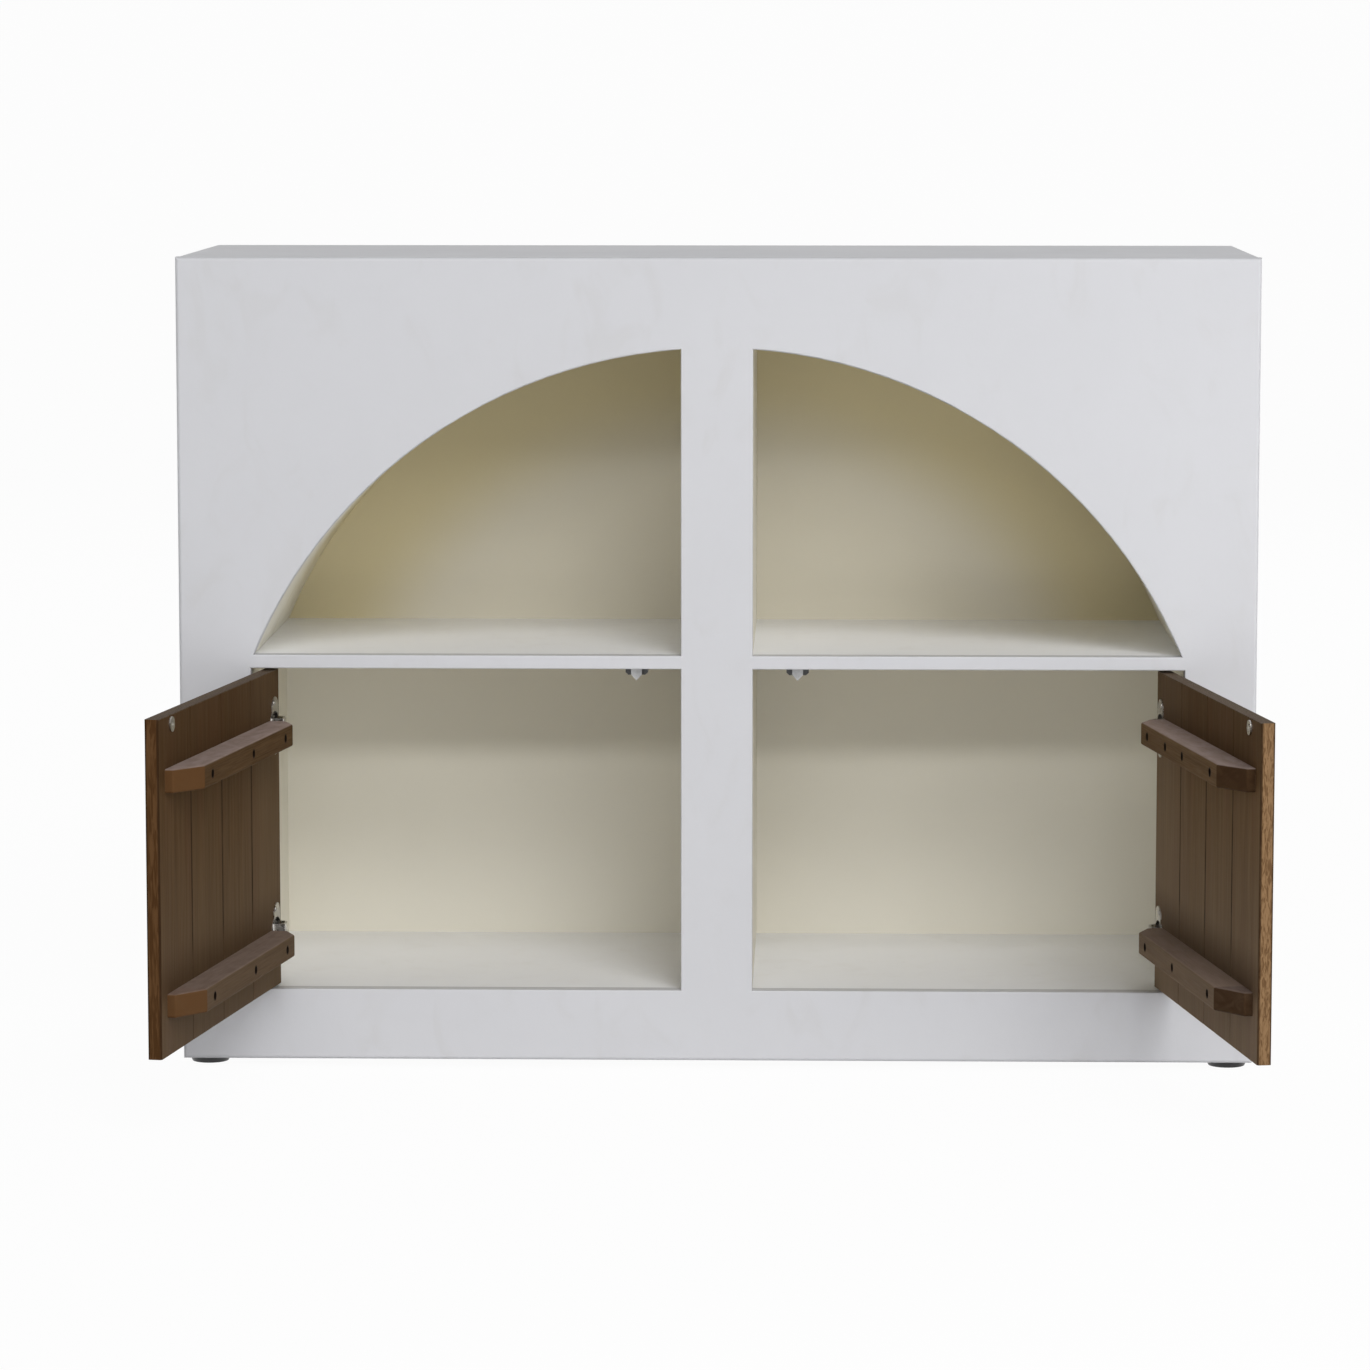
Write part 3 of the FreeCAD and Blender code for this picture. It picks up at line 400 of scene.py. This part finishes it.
# Door planks: four upright boards to a door, dressed smooth, with a V-groove at each joint,
# stained dark brown and oiled. On the inside a painted shadow darkens the wood over the battens,
# the wood is painted lighter and greyer towards the floor as painted floor light and sheen, and
# the dark seams fade within the painted shadows and below the lower batten.
DOOR_TURN = 99.3
HINGE_EDGE = 0.017
PLANK_WIDTH = 0.1185
FREE_EDGE = 4 * PLANK_WIDTH - HINGE_EDGE
EDGE_ROUND = 0.0025
GROOVE = 0.0012
INNER_FACE = 0.006
OUTER_FACE = -0.009
WOOD_GLOSS = 0.03
OUTER_STAIN = (1.15, 1.05, 0.92)
# Stains for each door's inside, partly the real colour and partly painted light: the right door is painted
# much lighter, the left darker, on planks and battens.
LEFT_STAIN_SHADED = (0.95, 0.84, 0.68)
RIGHT_STAIN_LIT = (1.70, 1.60, 1.45)
# Free-edge colours, partly the wood and partly painted light: the right door's edge is painted much lighter
# than the left's, as if facing the light.
LEFT_EDGE_SHADED = (0.064, 0.029, 0.010)
LEFT_FLECK = (0.105, 0.052, 0.021)
RIGHT_EDGE_LIT = (0.235, 0.141, 0.070)
RIGHT_FLECK = (0.125, 0.068, 0.031)
LONG_FLECKS = (0.006, 0.003, 0.030)
SHORT_FLECKS = (0.003, 0.002, 0.010)
DOOR_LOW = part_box("left_door_plank_1")[0].z
DOOR_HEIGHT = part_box("left_door_plank_1")[1].z - DOOR_LOW
BATTEN_HALF = 0.016
BATTEN_HEIGHTS = {"left": (0.2895, 0.0530), "right": (0.2945, 0.0600)}
PLANK_SHADES = [(0.22, (0.056, 0.031, 0.013)), (0.80, (0.128, 0.082, 0.043)), (0.5, (0.092, 0.056, 0.027))]
OCHRE = (0.088, 0.062, 0.028, 1.0)
RUDDY = (0.094, 0.049, 0.026, 1.0)
PORE = (0.036, 0.020, 0.009, 1.0)
# Painted floor light and sheen: the inside lighter and greyer towards the floor.
FLOOR_SHEEN = (0.140, 0.115, 0.092, 1.0)
# Lighter and greyer on the inside towards the hinge edge.
HINGE_SIDE_GREY = (0.150, 0.115, 0.082, 1.0)
# Painted shadow over the battens on the door's inside.
BATTEN_SHADOW = (0.048, 0.025, 0.011, 1.0)
SEAM_DIRT = (0.012, 0.007, 0.004, 1.0)
PALE_END = (0.130, 0.100, 0.075, 1.0)
DARK_END = (0.050, 0.032, 0.018, 1.0)
# Painted shade along the arrises of the free edge.
ARRIS_SHADE = (0.026, 0.013, 0.006, 1.0)
hinges = [joint for joint in frame["joints"] if joint["type"] == "hinge"]
pins = {hinge["child"].split("_")[0]: hinge["pos_m"] for hinge in hinges}


def door_place(tree, place, side):
    """Coordinates on the door: x along it from the pin, y through it and z up from its bottom.

    The left door's y points into the cupboard when shut and the right door's y points out of it.
    """
    turn = -DOOR_TURN if side == "left" else DOOR_TURN + 180
    foot = (*pins[side][:2], DOOR_LOW)
    inputs = {"Vector": place, "Location": foot, "Rotation": (0, 0, math.radians(turn))}
    return add(tree, "Mapping", inputs, vector_type="TEXTURE")


def painted_batten_shadow(tree, up, side):
    """How strong the painted batten shadow is: most over the upper batten, and for a hand's width over the
    lower.
    """
    upper, lower = BATTEN_HEIGHTS[side]
    high = spread(tree, up, upper - 0.02, upper + 0.01)
    start = spread(tree, up, lower, lower + BATTEN_HALF)
    low = spread(tree, up, lower + BATTEN_HALF + 0.005, lower + BATTEN_HALF + 0.05, 1.0, 0.0)
    return combine(tree, "MAXIMUM", high, combine(tree, "MULTIPLY", start, low))


def plank_figure(tree, own, count):
    """Drawn-out bands and fibres in each plank's own hue; gives the colour, the bands and the fibres."""
    bands = cloud(tree, own, (0.024, 0.024, 0.60), 3.0, 1.4)
    fibres = cloud(tree, own, (0.0018, 0.0018, 0.08), 4.0, 0.3)
    pores = spread(tree, cloud(tree, own, (0.0007, 0.0007, 0.016), 2.0), 0.60, 0.74)
    wood = shades(tree, tint(tree, 0.3, bands, fibres), PLANK_SHADES)
    tone = add(tree, "TexWhiteNoise", {"W": combine(tree, "ADD", count, 2.4)}, noise_dimensions="1D")
    wood = tint(tree, spread(tree, tone, 0.0, 1.0, 0.0, 0.4), wood, OCHRE)
    ruddy = spread(tree, cloud(tree, own, (0.05, 0.05, 0.22), 3.0, 0.8), 0.45, 0.70, 0.0, 0.5)
    wood = tint(tree, ruddy, wood, RUDDY)
    wood = tint(tree, combine(tree, "MULTIPLY", pores, 0.4), wood, PORE)
    return wood, bands, fibres


def bare_edge(tree, own, through, edge_with_light, fleck_colour, fleck):
    """The door's free edge: flecks of the size given, and a painted shade line along each arris."""
    flecks = spread(tree, cloud(tree, own, fleck, 3.0, 0.8), 0.42, 0.62)
    edge = tint(tree, flecks, (*edge_with_light, 1.0), (*fleck_colour, 1.0))
    inner_arris = spread(tree, through, INNER_FACE - 0.0028, INNER_FACE - 0.0012)
    outer_arris = spread(tree, through, OUTER_FACE + 0.0028, OUTER_FACE + 0.0012)
    # Painted shade along each arris of the free edge.
    arris = combine(tree, "MULTIPLY", combine(tree, "MAXIMUM", inner_arris, outer_arris), 0.8)
    return tint(tree, arris, edge, ARRIS_SHADE)


def stained_plank(side, stain_with_light, edge_with_light, fleck_colour, fleck, sheen_to_floor):
    """Stained planks, each shifted to its own grain: painted floor light and sheen, hinge-side grey,
    staining with painted light, painted batten shadow, dark seams, cut ends and free edge.
    """
    finish, tree, shader, place = new_finish(f"{side}_stained_planks")
    spot = door_place(tree, place, side)
    along = add(tree, "SeparateXYZ", {0: spot}, 0)
    inward = 1.0 if side == "left" else -1.0
    through = combine(tree, "MULTIPLY", add(tree, "SeparateXYZ", {0: spot}, 1), inward)
    up = add(tree, "SeparateXYZ", {0: spot}, 2)
    from_edge = combine(tree, "DIVIDE", combine(tree, "ADD", along, HINGE_EDGE), PLANK_WIDTH)
    count = combine(tree, "FLOOR", from_edge)
    steps = {0: combine(tree, "MULTIPLY", count, 3.17), 2: combine(tree, "MULTIPLY", count, 5.3)}
    own = add(tree, "VectorMath", {0: spot, 1: add(tree, "CombineXYZ", steps)}, operation="ADD")
    wood, bands, fibres = plank_figure(tree, own, count)
    inside = spread(tree, through, OUTER_FACE + 0.004, INNER_FACE - 0.004)
    # Painted floor light and sheen, growing towards the floor.
    floor_sheen_share = combine(tree, "MULTIPLY", inside, spread(tree, up, 0.34, 0.0, 0.0, sheen_to_floor))
    wood = tint(tree, floor_sheen_share, wood, FLOOR_SHEEN)
    # Lighter and greyer towards the hinge edge.
    hinge_side_share = combine(tree, "MULTIPLY", inside, spread(tree, along, 0.18, 0.03, 0.0, 0.45))
    wood = tint(tree, hinge_side_share, wood, HINGE_SIDE_GREY)
    # Per-door staining with painted light, on the inside only.
    coat_with_light = tint(tree, inside, (*OUTER_STAIN, 1.0), (*stain_with_light, 1.0))
    wood = tint(tree, 1.0, wood, coat_with_light, "MULTIPLY")
    # Painted shadow over the battens, where they block light from below.
    shadow_over_battens = combine(tree, "MULTIPLY", inside, painted_batten_shadow(tree, up, side))
    wood = tint(tree, combine(tree, "MULTIPLY", shadow_over_battens, 0.5), wood, BATTEN_SHADOW)
    into = combine(tree, "PINGPONG", from_edge, 0.5)
    groove = spread(tree, into, 2.6 * GROOVE / PLANK_WIDTH, 1.0 * GROOVE / PLANK_WIDTH)
    filled = spread(tree, cloud(tree, own, (0.5, 0.5, 0.09), 2.0), 0.35, 0.65, 0.9, 0.6)
    lower = BATTEN_HEIGHTS[side][1]
    below = combine(tree, "MULTIPLY", inside, spread(tree, up, lower, lower - BATTEN_HALF))
    open_part = spread(tree, combine(tree, "MAXIMUM", shadow_over_battens, below), 0.0, 1.0, 1.0, 0.25)
    seam = combine(tree, "MULTIPLY", groove, combine(tree, "MULTIPLY", filled, open_part))
    wood = tint(tree, seam, wood, SEAM_DIRT)
    cut = spread(tree, cloud(tree, own, (0.0011, 0.0011, 0.02), 3.0), 0.45, 0.60)
    at_end = spread(tree, up, DOOR_HEIGHT - 0.0012, DOOR_HEIGHT - 0.0004, 0.0, 0.8)
    wood = tint(tree, at_end, wood, tint(tree, cut, PALE_END, DARK_END))
    edge = bare_edge(tree, own, through, edge_with_light, fleck_colour, fleck)
    at_edge = spread(tree, along, FREE_EDGE - EDGE_ROUND, FREE_EDGE - 0.4 * EDGE_ROUND)
    tree.links.new(tint(tree, at_edge, wood, edge), shader.inputs["Base Color"])
    tree.links.new(spread(tree, fibres, 0.3, 0.7, 0.68, 0.55), shader.inputs["Roughness"])
    shader.inputs["Specular IOR Level"].default_value = WOOD_GLOSS
    combed = relief(tree, fibres, 0.00012)
    tree.links.new(relief(tree, bands, 0.0003, combed), shader.inputs["Normal"])
    return finish


for side, stain_with_light, edge_with_light, fleck_colour, fleck, sheen_to_floor in (
    ("left", LEFT_STAIN_SHADED, LEFT_EDGE_SHADED, LEFT_FLECK, LONG_FLECKS, 0.45),
    ("right", RIGHT_STAIN_LIT, RIGHT_EDGE_LIT, RIGHT_FLECK, SHORT_FLECKS, 0.5),
):
    planks = [f"{side}_door_plank_{number}" for number in (1, 2, 3, 4)]
    dress(stained_plank(side, stain_with_light, edge_with_light, fleck_colour, fleck, sheen_to_floor), *planks)

# Battens: two bevelled bars across the inside of each door, of the same stained wood with
# the grain along them, screwed through sunk holes. Dust and a painted sheen grey their upper
# faces, the lower battens' only half as much, as painted shade.
THREE_SCREWS = (0.091, 0.222, 0.383)
FOUR_SCREWS = (0.091, 0.17775, 0.257, 0.383)
BATTEN_SCREWS = {"left": (THREE_SCREWS, THREE_SCREWS), "right": (FOUR_SCREWS, THREE_SCREWS)}
BATTEN_SEAT = 0.026
BATTEN_SCREW_LENGTH = 0.029
BATTEN_BEVEL = 0.063
BATTEN_SHADES = [(0.25, (0.048, 0.028, 0.013)), (0.77, (0.112, 0.072, 0.040)), (0.5, (0.078, 0.049, 0.026))]
# Painted floor light and sheen: battens lighter and greyer towards the floor.
BATTEN_FLOOR_SHEEN = (0.150, 0.122, 0.100, 1.0)
# Bevelled-end colours, partly end grain and partly painted light: the left ends face the light and are
# painted lighter than the right.
LEFT_BEVEL_LIT = (0.102, 0.049, 0.019)
RIGHT_BEVEL_SHADED = (0.040, 0.020, 0.009)
RUBBED = (0.16, 0.11, 0.07, 1.0)
# Dust and painted sheen: the grey of the faces that look up.
DUST_AND_SHEEN = (0.325, 0.250, 0.222, 1.0)
# Painted shade inside the sunk screw holes.
HOLE_SHADE = (0.010, 0.006, 0.004, 1.0)


def screw_spots(side):
    """The sunk screws on a door's battens: from the hinge edge, at the heads' seat, above the bottom."""
    rows = zip(BATTEN_HEIGHTS[side], BATTEN_SCREWS[side])
    return [(along, BATTEN_SEAT, height) for height, places in rows for along in places]


def near_screws(tree, spot, side):
    """1 inside the sunk holes and 0 a millimetre past their rims, by the nearest screw's axis."""
    flat = add(tree, "VectorMath", {0: spot, 1: (1.0, 0.0, 1.0)}, operation="MULTIPLY")
    nearest = 1.0
    for along, _, height in screw_spots(side):
        centre = (along - HINGE_EDGE, 0.0, height)
        away = add(tree, "VectorMath", {0: flat, 1: centre}, "Value", operation="DISTANCE")
        nearest = combine(tree, "MINIMUM", away, nearest)
    return spread(tree, nearest, 0.0058, 0.0044)


def edge_wear(tree, reach):
    """How close an edge is: 0 on a flat face and up to 1 where the corner within reach turns."""
    soft = add(tree, "Bevel", {"Radius": reach}, samples=6)
    flat = add(tree, "NewGeometry", output="True Normal")
    turn = add(tree, "VectorMath", {0: soft, 1: flat}, "Value", operation="DOT_PRODUCT")
    return spread(tree, turn, 0.99, 0.80)


def stained_batten(side, stain_with_light, end_with_light):
    """Stained bars: fibres along the door, staining with painted light, painted floor sheen lower down,
    grey faces looking up (partly dirt, partly painted sheen), painted shade in the screw holes, bevelled
    ends in an end colour with painted light.
    """
    finish, tree, shader, place = new_finish(f"{side}_stained_battens")
    spot = door_place(tree, place, side)
    up = add(tree, "SeparateXYZ", {0: spot}, 2)
    bands = cloud(tree, spot, (0.40, 0.013, 0.013), 3.0, 1.0)
    fibres = cloud(tree, spot, (0.05, 0.0014, 0.0014), 4.0, 0.3)
    wood = shades(tree, tint(tree, 0.4, bands, fibres), BATTEN_SHADES)
    # Painted floor light and sheen, growing towards the floor.
    wood = tint(tree, spread(tree, up, 0.30, 0.05, 0.0, 0.4), wood, BATTEN_FLOOR_SHEEN)
    # Per-door staining with painted light: lighter on the right door, darker on the left.
    wood = tint(tree, 1.0, wood, (*stain_with_light, 1.0), "MULTIPLY")
    along = add(tree, "SeparateXYZ", {0: spot}, 0)
    bevel = FREE_EDGE - BATTEN_BEVEL
    # Bevelled ends take their end colour, which carries painted light.
    at_end = spread(tree, along, bevel, bevel + 0.003, 0.0, 0.97)
    mottled = tint(tree, spread(tree, bands, 0.3, 0.7, 0.0, 0.12), (*end_with_light, 1.0), wood)
    wood = tint(tree, at_end, wood, mottled)
    streaks = spread(tree, fibres, 0.4, 0.65, 0.05, 0.3)
    wood = tint(tree, combine(tree, "MULTIPLY", edge_wear(tree, 0.003), streaks), wood, RUBBED)
    facing = add(tree, "SeparateXYZ", {0: add(tree, "TexCoord", output="Normal")}, 2)
    dusty = cloud(tree, spot, (0.03, 0.012, 0.012), 5.0, 0.5)
    # Painted shade: the lower battens get half the grey of the upper ones.
    height = spread(tree, up, 0.1, 0.25, 0.5, 1.0)
    settled_and_lit = combine(tree, "MULTIPLY", spread(tree, dusty, 0.3, 0.7, 0.7, 1.0), height)
    dust_and_sheen_share = combine(tree, "MULTIPLY", spread(tree, facing, 0.5, 0.95), settled_and_lit)
    wood = tint(tree, dust_and_sheen_share, wood, DUST_AND_SHEEN)
    # Painted shade inside the sunk screw holes.
    wood = tint(tree, near_screws(tree, spot, side), wood, HOLE_SHADE)
    tree.links.new(wood, shader.inputs["Base Color"])
    tree.links.new(spread(tree, fibres, 0.3, 0.7, 0.68, 0.55), shader.inputs["Roughness"])
    shader.inputs["Specular IOR Level"].default_value = WOOD_GLOSS
    tree.links.new(relief(tree, fibres, 0.00015), shader.inputs["Normal"])
    return finish


def on_door(side, spots):
    """Door places (from the hinge edge, through the door behind the pin, above its bottom) as points."""
    hand = 1 if side == "left" else -1
    turn = -hand * math.radians(DOOR_TURN)
    across, through, up = np.asarray(spots, float).T
    across = hand * (across - HINGE_EDGE)
    x = pins[side][0] + across * math.cos(turn) - through * math.sin(turn)
    y = pins[side][1] + across * math.sin(turn) + through * math.cos(turn)
    return np.stack([x, y, DOOR_LOW + up], axis=-1)


def off_door(side):
    """The direction out of the door's inner face."""
    turn = math.radians(-DOOR_TURN if side == "left" else DOOR_TURN)
    return (-math.sin(turn), math.cos(turn), 0.0)


blackened = plated("blackened_steel", (0.06, 0.055, 0.05), (0.5, 0.7), (0.0006, 0.004, 0.0006))
for side, stain_with_light, end_with_light in (
    ("left", LEFT_STAIN_SHADED, LEFT_BEVEL_LIT),
    ("right", RIGHT_STAIN_LIT, RIGHT_BEVEL_SHADED),
):
    finish = stained_batten(side, stain_with_light, end_with_light)
    dress(finish, f"{side}_door_upper_batten", f"{side}_door_lower_batten")
    seats = on_door(side, screw_spots(side))
    batten_screws = screws(
        f"{side}_batten_screw_set", seats, off_door(side), *WOOD_SCREW, BATTEN_SCREW_LENGTH
    )
    fasten(batten_screws, f"{side}_door", blackened, f"{side}_batten_screws")

# Hinges: pressed and nickel-plated cup hinges, two to a door. The cup is let into the door,
# the cranked arm turns on its pin and is clamped by two screws to a plate on the jamb.
HINGE_HEIGHTS = (0.062, 0.2945)
FLANGE_FACE = 0.0072
CUP_SCREW_ALONG = 0.0275
CUP_SCREW_STEP = 0.026
STRIKE_ALONG = 0.427
STRIKE_UP = 0.3465
STRIKE_SEAT = 0.0064
JAMB_FACE = 0.52
WING_FACE = 0.003
WING_DEPTH = 0.061
PLATE_SCREW_STEP = 0.018
ARM_FACE = 0.01425
CLAMP_DEPTHS = (0.055, 0.074)
SMALL_SCREW = (0.0030, 0.0016, 0.0015)
SMALL_SCREW_LENGTH = 0.011
CLAMP_SCREW = (0.0034, 0.0013, 0.0020)
CLAMP_SCREW_LENGTH = 0.002
PLATE_SCREW_LENGTH = 0.014
nickel = plated("nickel_plate", (0.52, 0.50, 0.47), (0.20, 0.36), (0.0009, 0.0009, 0.006))
plate_seats = []
plate_outward = []
for side, hand in (("left", 1), ("right", -1)):
    for level in ("upper", "lower"):
        hinge = f"{side}_{level}_hinge"
        dress(nickel, f"{hinge}_cup", f"{hinge}_arm", f"{hinge}_plate")
    dress(nickel, f"{side}_hinge_pins")
    ends = (-CUP_SCREW_STEP, CUP_SCREW_STEP)
    spots = [(CUP_SCREW_ALONG, FLANGE_FACE, height + end) for height in HINGE_HEIGHTS for end in ends]
    spots.append((STRIKE_ALONG, STRIKE_SEAT, STRIKE_UP))
    seats = on_door(side, spots)
    fitting_screws = screws(
        f"{side}_fitting_screw_set", seats, off_door(side), *SMALL_SCREW, SMALL_SCREW_LENGTH
    )
    fasten(fitting_screws, f"{side}_door", nickel, f"{side}_fitting_screws")
    levels = [DOOR_LOW + height for height in HINGE_HEIGHTS]
    arm_x = -hand * (JAMB_FACE - ARM_FACE)
    clamp_seats = [(arm_x, FRONT_FACE + depth, level) for level in levels for depth in CLAMP_DEPTHS]
    clamp_screws = screws(
        f"{side}_clamp_screws", clamp_seats, (hand, 0, 0), *CLAMP_SCREW, CLAMP_SCREW_LENGTH
    )
    fasten(clamp_screws, "carcass", nickel)
    wing_x = -hand * (JAMB_FACE - WING_FACE)
    for level in levels:
        for step in (-PLATE_SCREW_STEP, PLATE_SCREW_STEP):
            plate_seats.append((wing_x, FRONT_FACE + WING_DEPTH, level + step))
            plate_outward.append((hand, 0, 0))
plate_screws = screws(
    "hinge_plate_screw_set", plate_seats, plate_outward, *WOOD_SCREW, PLATE_SCREW_LENGTH
)
fasten(plate_screws, "carcass", zinc, "hinge_plate_screws")

# Catches and strikes: a black sprung catch under each shelf and a round plated strike on the
# door, which presses the catch's wedge-shaped head in when the door is pushed shut.
grey_head = plated("dull_steel", (0.30, 0.30, 0.30), (0.40, 0.55), (0.0006, 0.0006, 0.003))
for side in ("left", "right"):
    dress(moulded, f"{side}_catch_housing")
    dress(grey_head, f"{side}_catch_head")
    dress(nickel, f"{side}_strike_plate")
CATCH_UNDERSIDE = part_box("left_catch_housing")[0].z
CATCH_X = 0.09
CATCH_SCREW_STEP = 0.0085
CATCH_SCREW_DEPTH = 0.0468
CATCH_SCREW_LENGTH = 0.020
catch_seats = [
    (hand * (CATCH_X + step), FRONT_FACE + CATCH_SCREW_DEPTH, CATCH_UNDERSIDE)
    for hand in (-1, 1)
    for step in (-CATCH_SCREW_STEP, CATCH_SCREW_STEP)
]
catch_screws = screws("catch_screw_set", catch_seats, (0, 0, -1), *SMALL_SCREW, CATCH_SCREW_LENGTH)
fasten(catch_screws, "carcass", zinc, "catch_screws")

# Studio: a white floor swept up behind into a wall, seen as plain white, in an even pale surround.
# Wide soft lamps stand in front, a low card near the floor and two lamps behind.
SWEEP_WIDTH = 24.0
SWEEP_FRONT = -12.0
SWEEP_BEND = 9.0
SWEEP_RADIUS = 3.0
SWEEP_HEIGHT = 9.0


def surface(name, points):
    """A mesh from a grid of points: one quad between each four neighbours, row by row."""
    mesh = bpy.data.meshes.new(name)
    down, across, _ = points.shape
    corner = np.arange(across * down).reshape(down, across)
    quads = np.stack([corner[:-1, :-1], corner[:-1, 1:], corner[1:, 1:], corner[1:, :-1]], axis=-1)
    mesh.from_pydata(points.reshape(-1, 3).tolist(), [], quads.reshape(-1, 4).tolist())
    mesh.shade_smooth()
    piece = bpy.data.objects.new(name, mesh)
    bpy.context.scene.collection.objects.link(piece)
    return piece


def white_sweep():
    """Width by profile: flat along y, a quarter circle of the bend's radius, then upright."""
    bend = np.linspace(0, math.pi / 2, 24)
    wall = SWEEP_BEND + SWEEP_RADIUS
    run = np.concatenate([[SWEEP_FRONT], SWEEP_BEND + SWEEP_RADIUS * np.sin(bend), [wall]])
    rise = np.concatenate([[0.0], SWEEP_RADIUS * (1 - np.cos(bend)), [SWEEP_HEIGHT]])
    width = np.linspace(-SWEEP_WIDTH / 2, SWEEP_WIDTH / 2, 2)
    grid = np.empty((len(run), len(width), 3))
    grid[..., 0] = width[None, :]
    grid[..., 1] = run[:, None]
    grid[..., 2] = rise[:, None]
    return surface("white_sweep", grid)


def seen_directly(tree):
    """1 for what the camera sees straight, in gloss or through glass, otherwise 0."""
    path = tree.nodes.new("ShaderNodeLightPath")
    straight = combine(tree, "ADD", path.outputs["Is Camera Ray"], path.outputs["Is Glossy Ray"])
    either = combine(tree, "ADD", straight, path.outputs["Is Transmission Ray"])
    return combine(tree, "MINIMUM", either, 1.0)


def white_floor():
    """White paint, shown almost as plain white so that only a soft shadow is left."""
    finish, tree, shader, _ = new_finish("white_floor")
    shader.inputs["Base Color"].default_value = (0.85, 0.85, 0.85, 1.0)
    shader.inputs["Roughness"].default_value = 0.9
    shader.inputs["Specular IOR Level"].default_value = 0.0
    plain = add(tree, "Emission", {"Color": (1, 1, 1, 1), "Strength": 1.0})
    share = combine(tree, "MULTIPLY", seen_directly(tree), 0.96)
    shown = add(tree, "MixShader", {0: share, 1: shader.outputs[0], 2: plain})
    tree.links.new(shown, tree.nodes["Material Output"].inputs["Surface"])
    return finish


sweep = white_sweep()
sweep.data.materials.append(white_floor())

SURROUND_LIGHT = 0.12
world = bpy.data.worlds.new("pale_surround")
bpy.context.scene.world = world
world.use_nodes = True
surround = world.node_tree.nodes["Background"]
lift = spread(world.node_tree, seen_directly(world.node_tree), 0.0, 1.0, SURROUND_LIGHT, 1.0)
surround.inputs["Color"].default_value = (1.0, 1.0, 1.0, 1.0)
world.node_tree.links.new(lift, surround.inputs["Strength"])

AIM = np.array([0.0, 0.2, 0.45])


def lamp(name, direction, distance, size, level):
    """A flat lamp of a width and height, facing the part from a direction and a distance.

    The direction is an angle to the right of the front and one upwards, in degrees. A white card
    that faces the lamp from the part's middle would show at about the level given.
    """
    light = bpy.data.lights.new(name, "AREA")
    light.shape = "RECTANGLE"
    light.size, light.size_y = size
    light.energy = level * math.pi**2 * distance**2
    turn, rise = np.radians(direction)
    out = np.array([math.sin(turn) * math.cos(rise), -math.cos(turn) * math.cos(rise), math.sin(rise)])
    holder = bpy.data.objects.new(name, light)
    holder.location = AIM + out * distance
    holder.rotation_euler = (math.pi / 2 - rise, 0, turn)
    holder.visible_camera = False
    bpy.context.scene.collection.objects.link(holder)


lamp("key_strip", (5, 20), 20.0, (19.5, 1.3), 0.235)
lamp("high_lamp", (5, 42), 20.0, (11.3, 6.5), 0.150)
lamp("high_right_lamp", (20, 40), 20.0, (8.7, 8.7), 0.320)
lamp("near_right_lamp", (45, 8), 3.0, (1.5, 1.5), 0.170)
lamp("floor_card", (10, -7), 2.5, (2.0, 0.25), 0.082)
lamp("back_left_lamp", (230, 12), 7.0, (3.0, 3.0), 0.200)
lamp("back_right_lamp", (140, 14), 7.0, (3.0, 3.0), 0.200)

PHOTO_SIZE = 1370
FOCAL_PIXELS = 5196.54
SENSOR = 36.0
CAMERA_RIGHT = 0.11198
CAMERA_AHEAD = 5.74639
CAMERA_UP = 1.11618
CAMERA_DOWNWARD = 6.7579
CAMERA_LEFTWARD = 1.4684
view = bpy.data.cameras.new("view")
view.sensor_width = SENSOR
view.lens = FOCAL_PIXELS / PHOTO_SIZE * SENSOR
view.clip_end = 100.0
camera = bpy.data.objects.new("view", view)
camera.location = (CAMERA_RIGHT, FRONT_FACE - CAMERA_AHEAD, CAMERA_UP)
camera.rotation_euler = (math.radians(90 - CAMERA_DOWNWARD), 0, math.radians(CAMERA_LEFTWARD))
bpy.context.scene.collection.objects.link(camera)
bpy.context.scene.camera = camera
bpy.context.scene.view_settings.view_transform = "Standard"
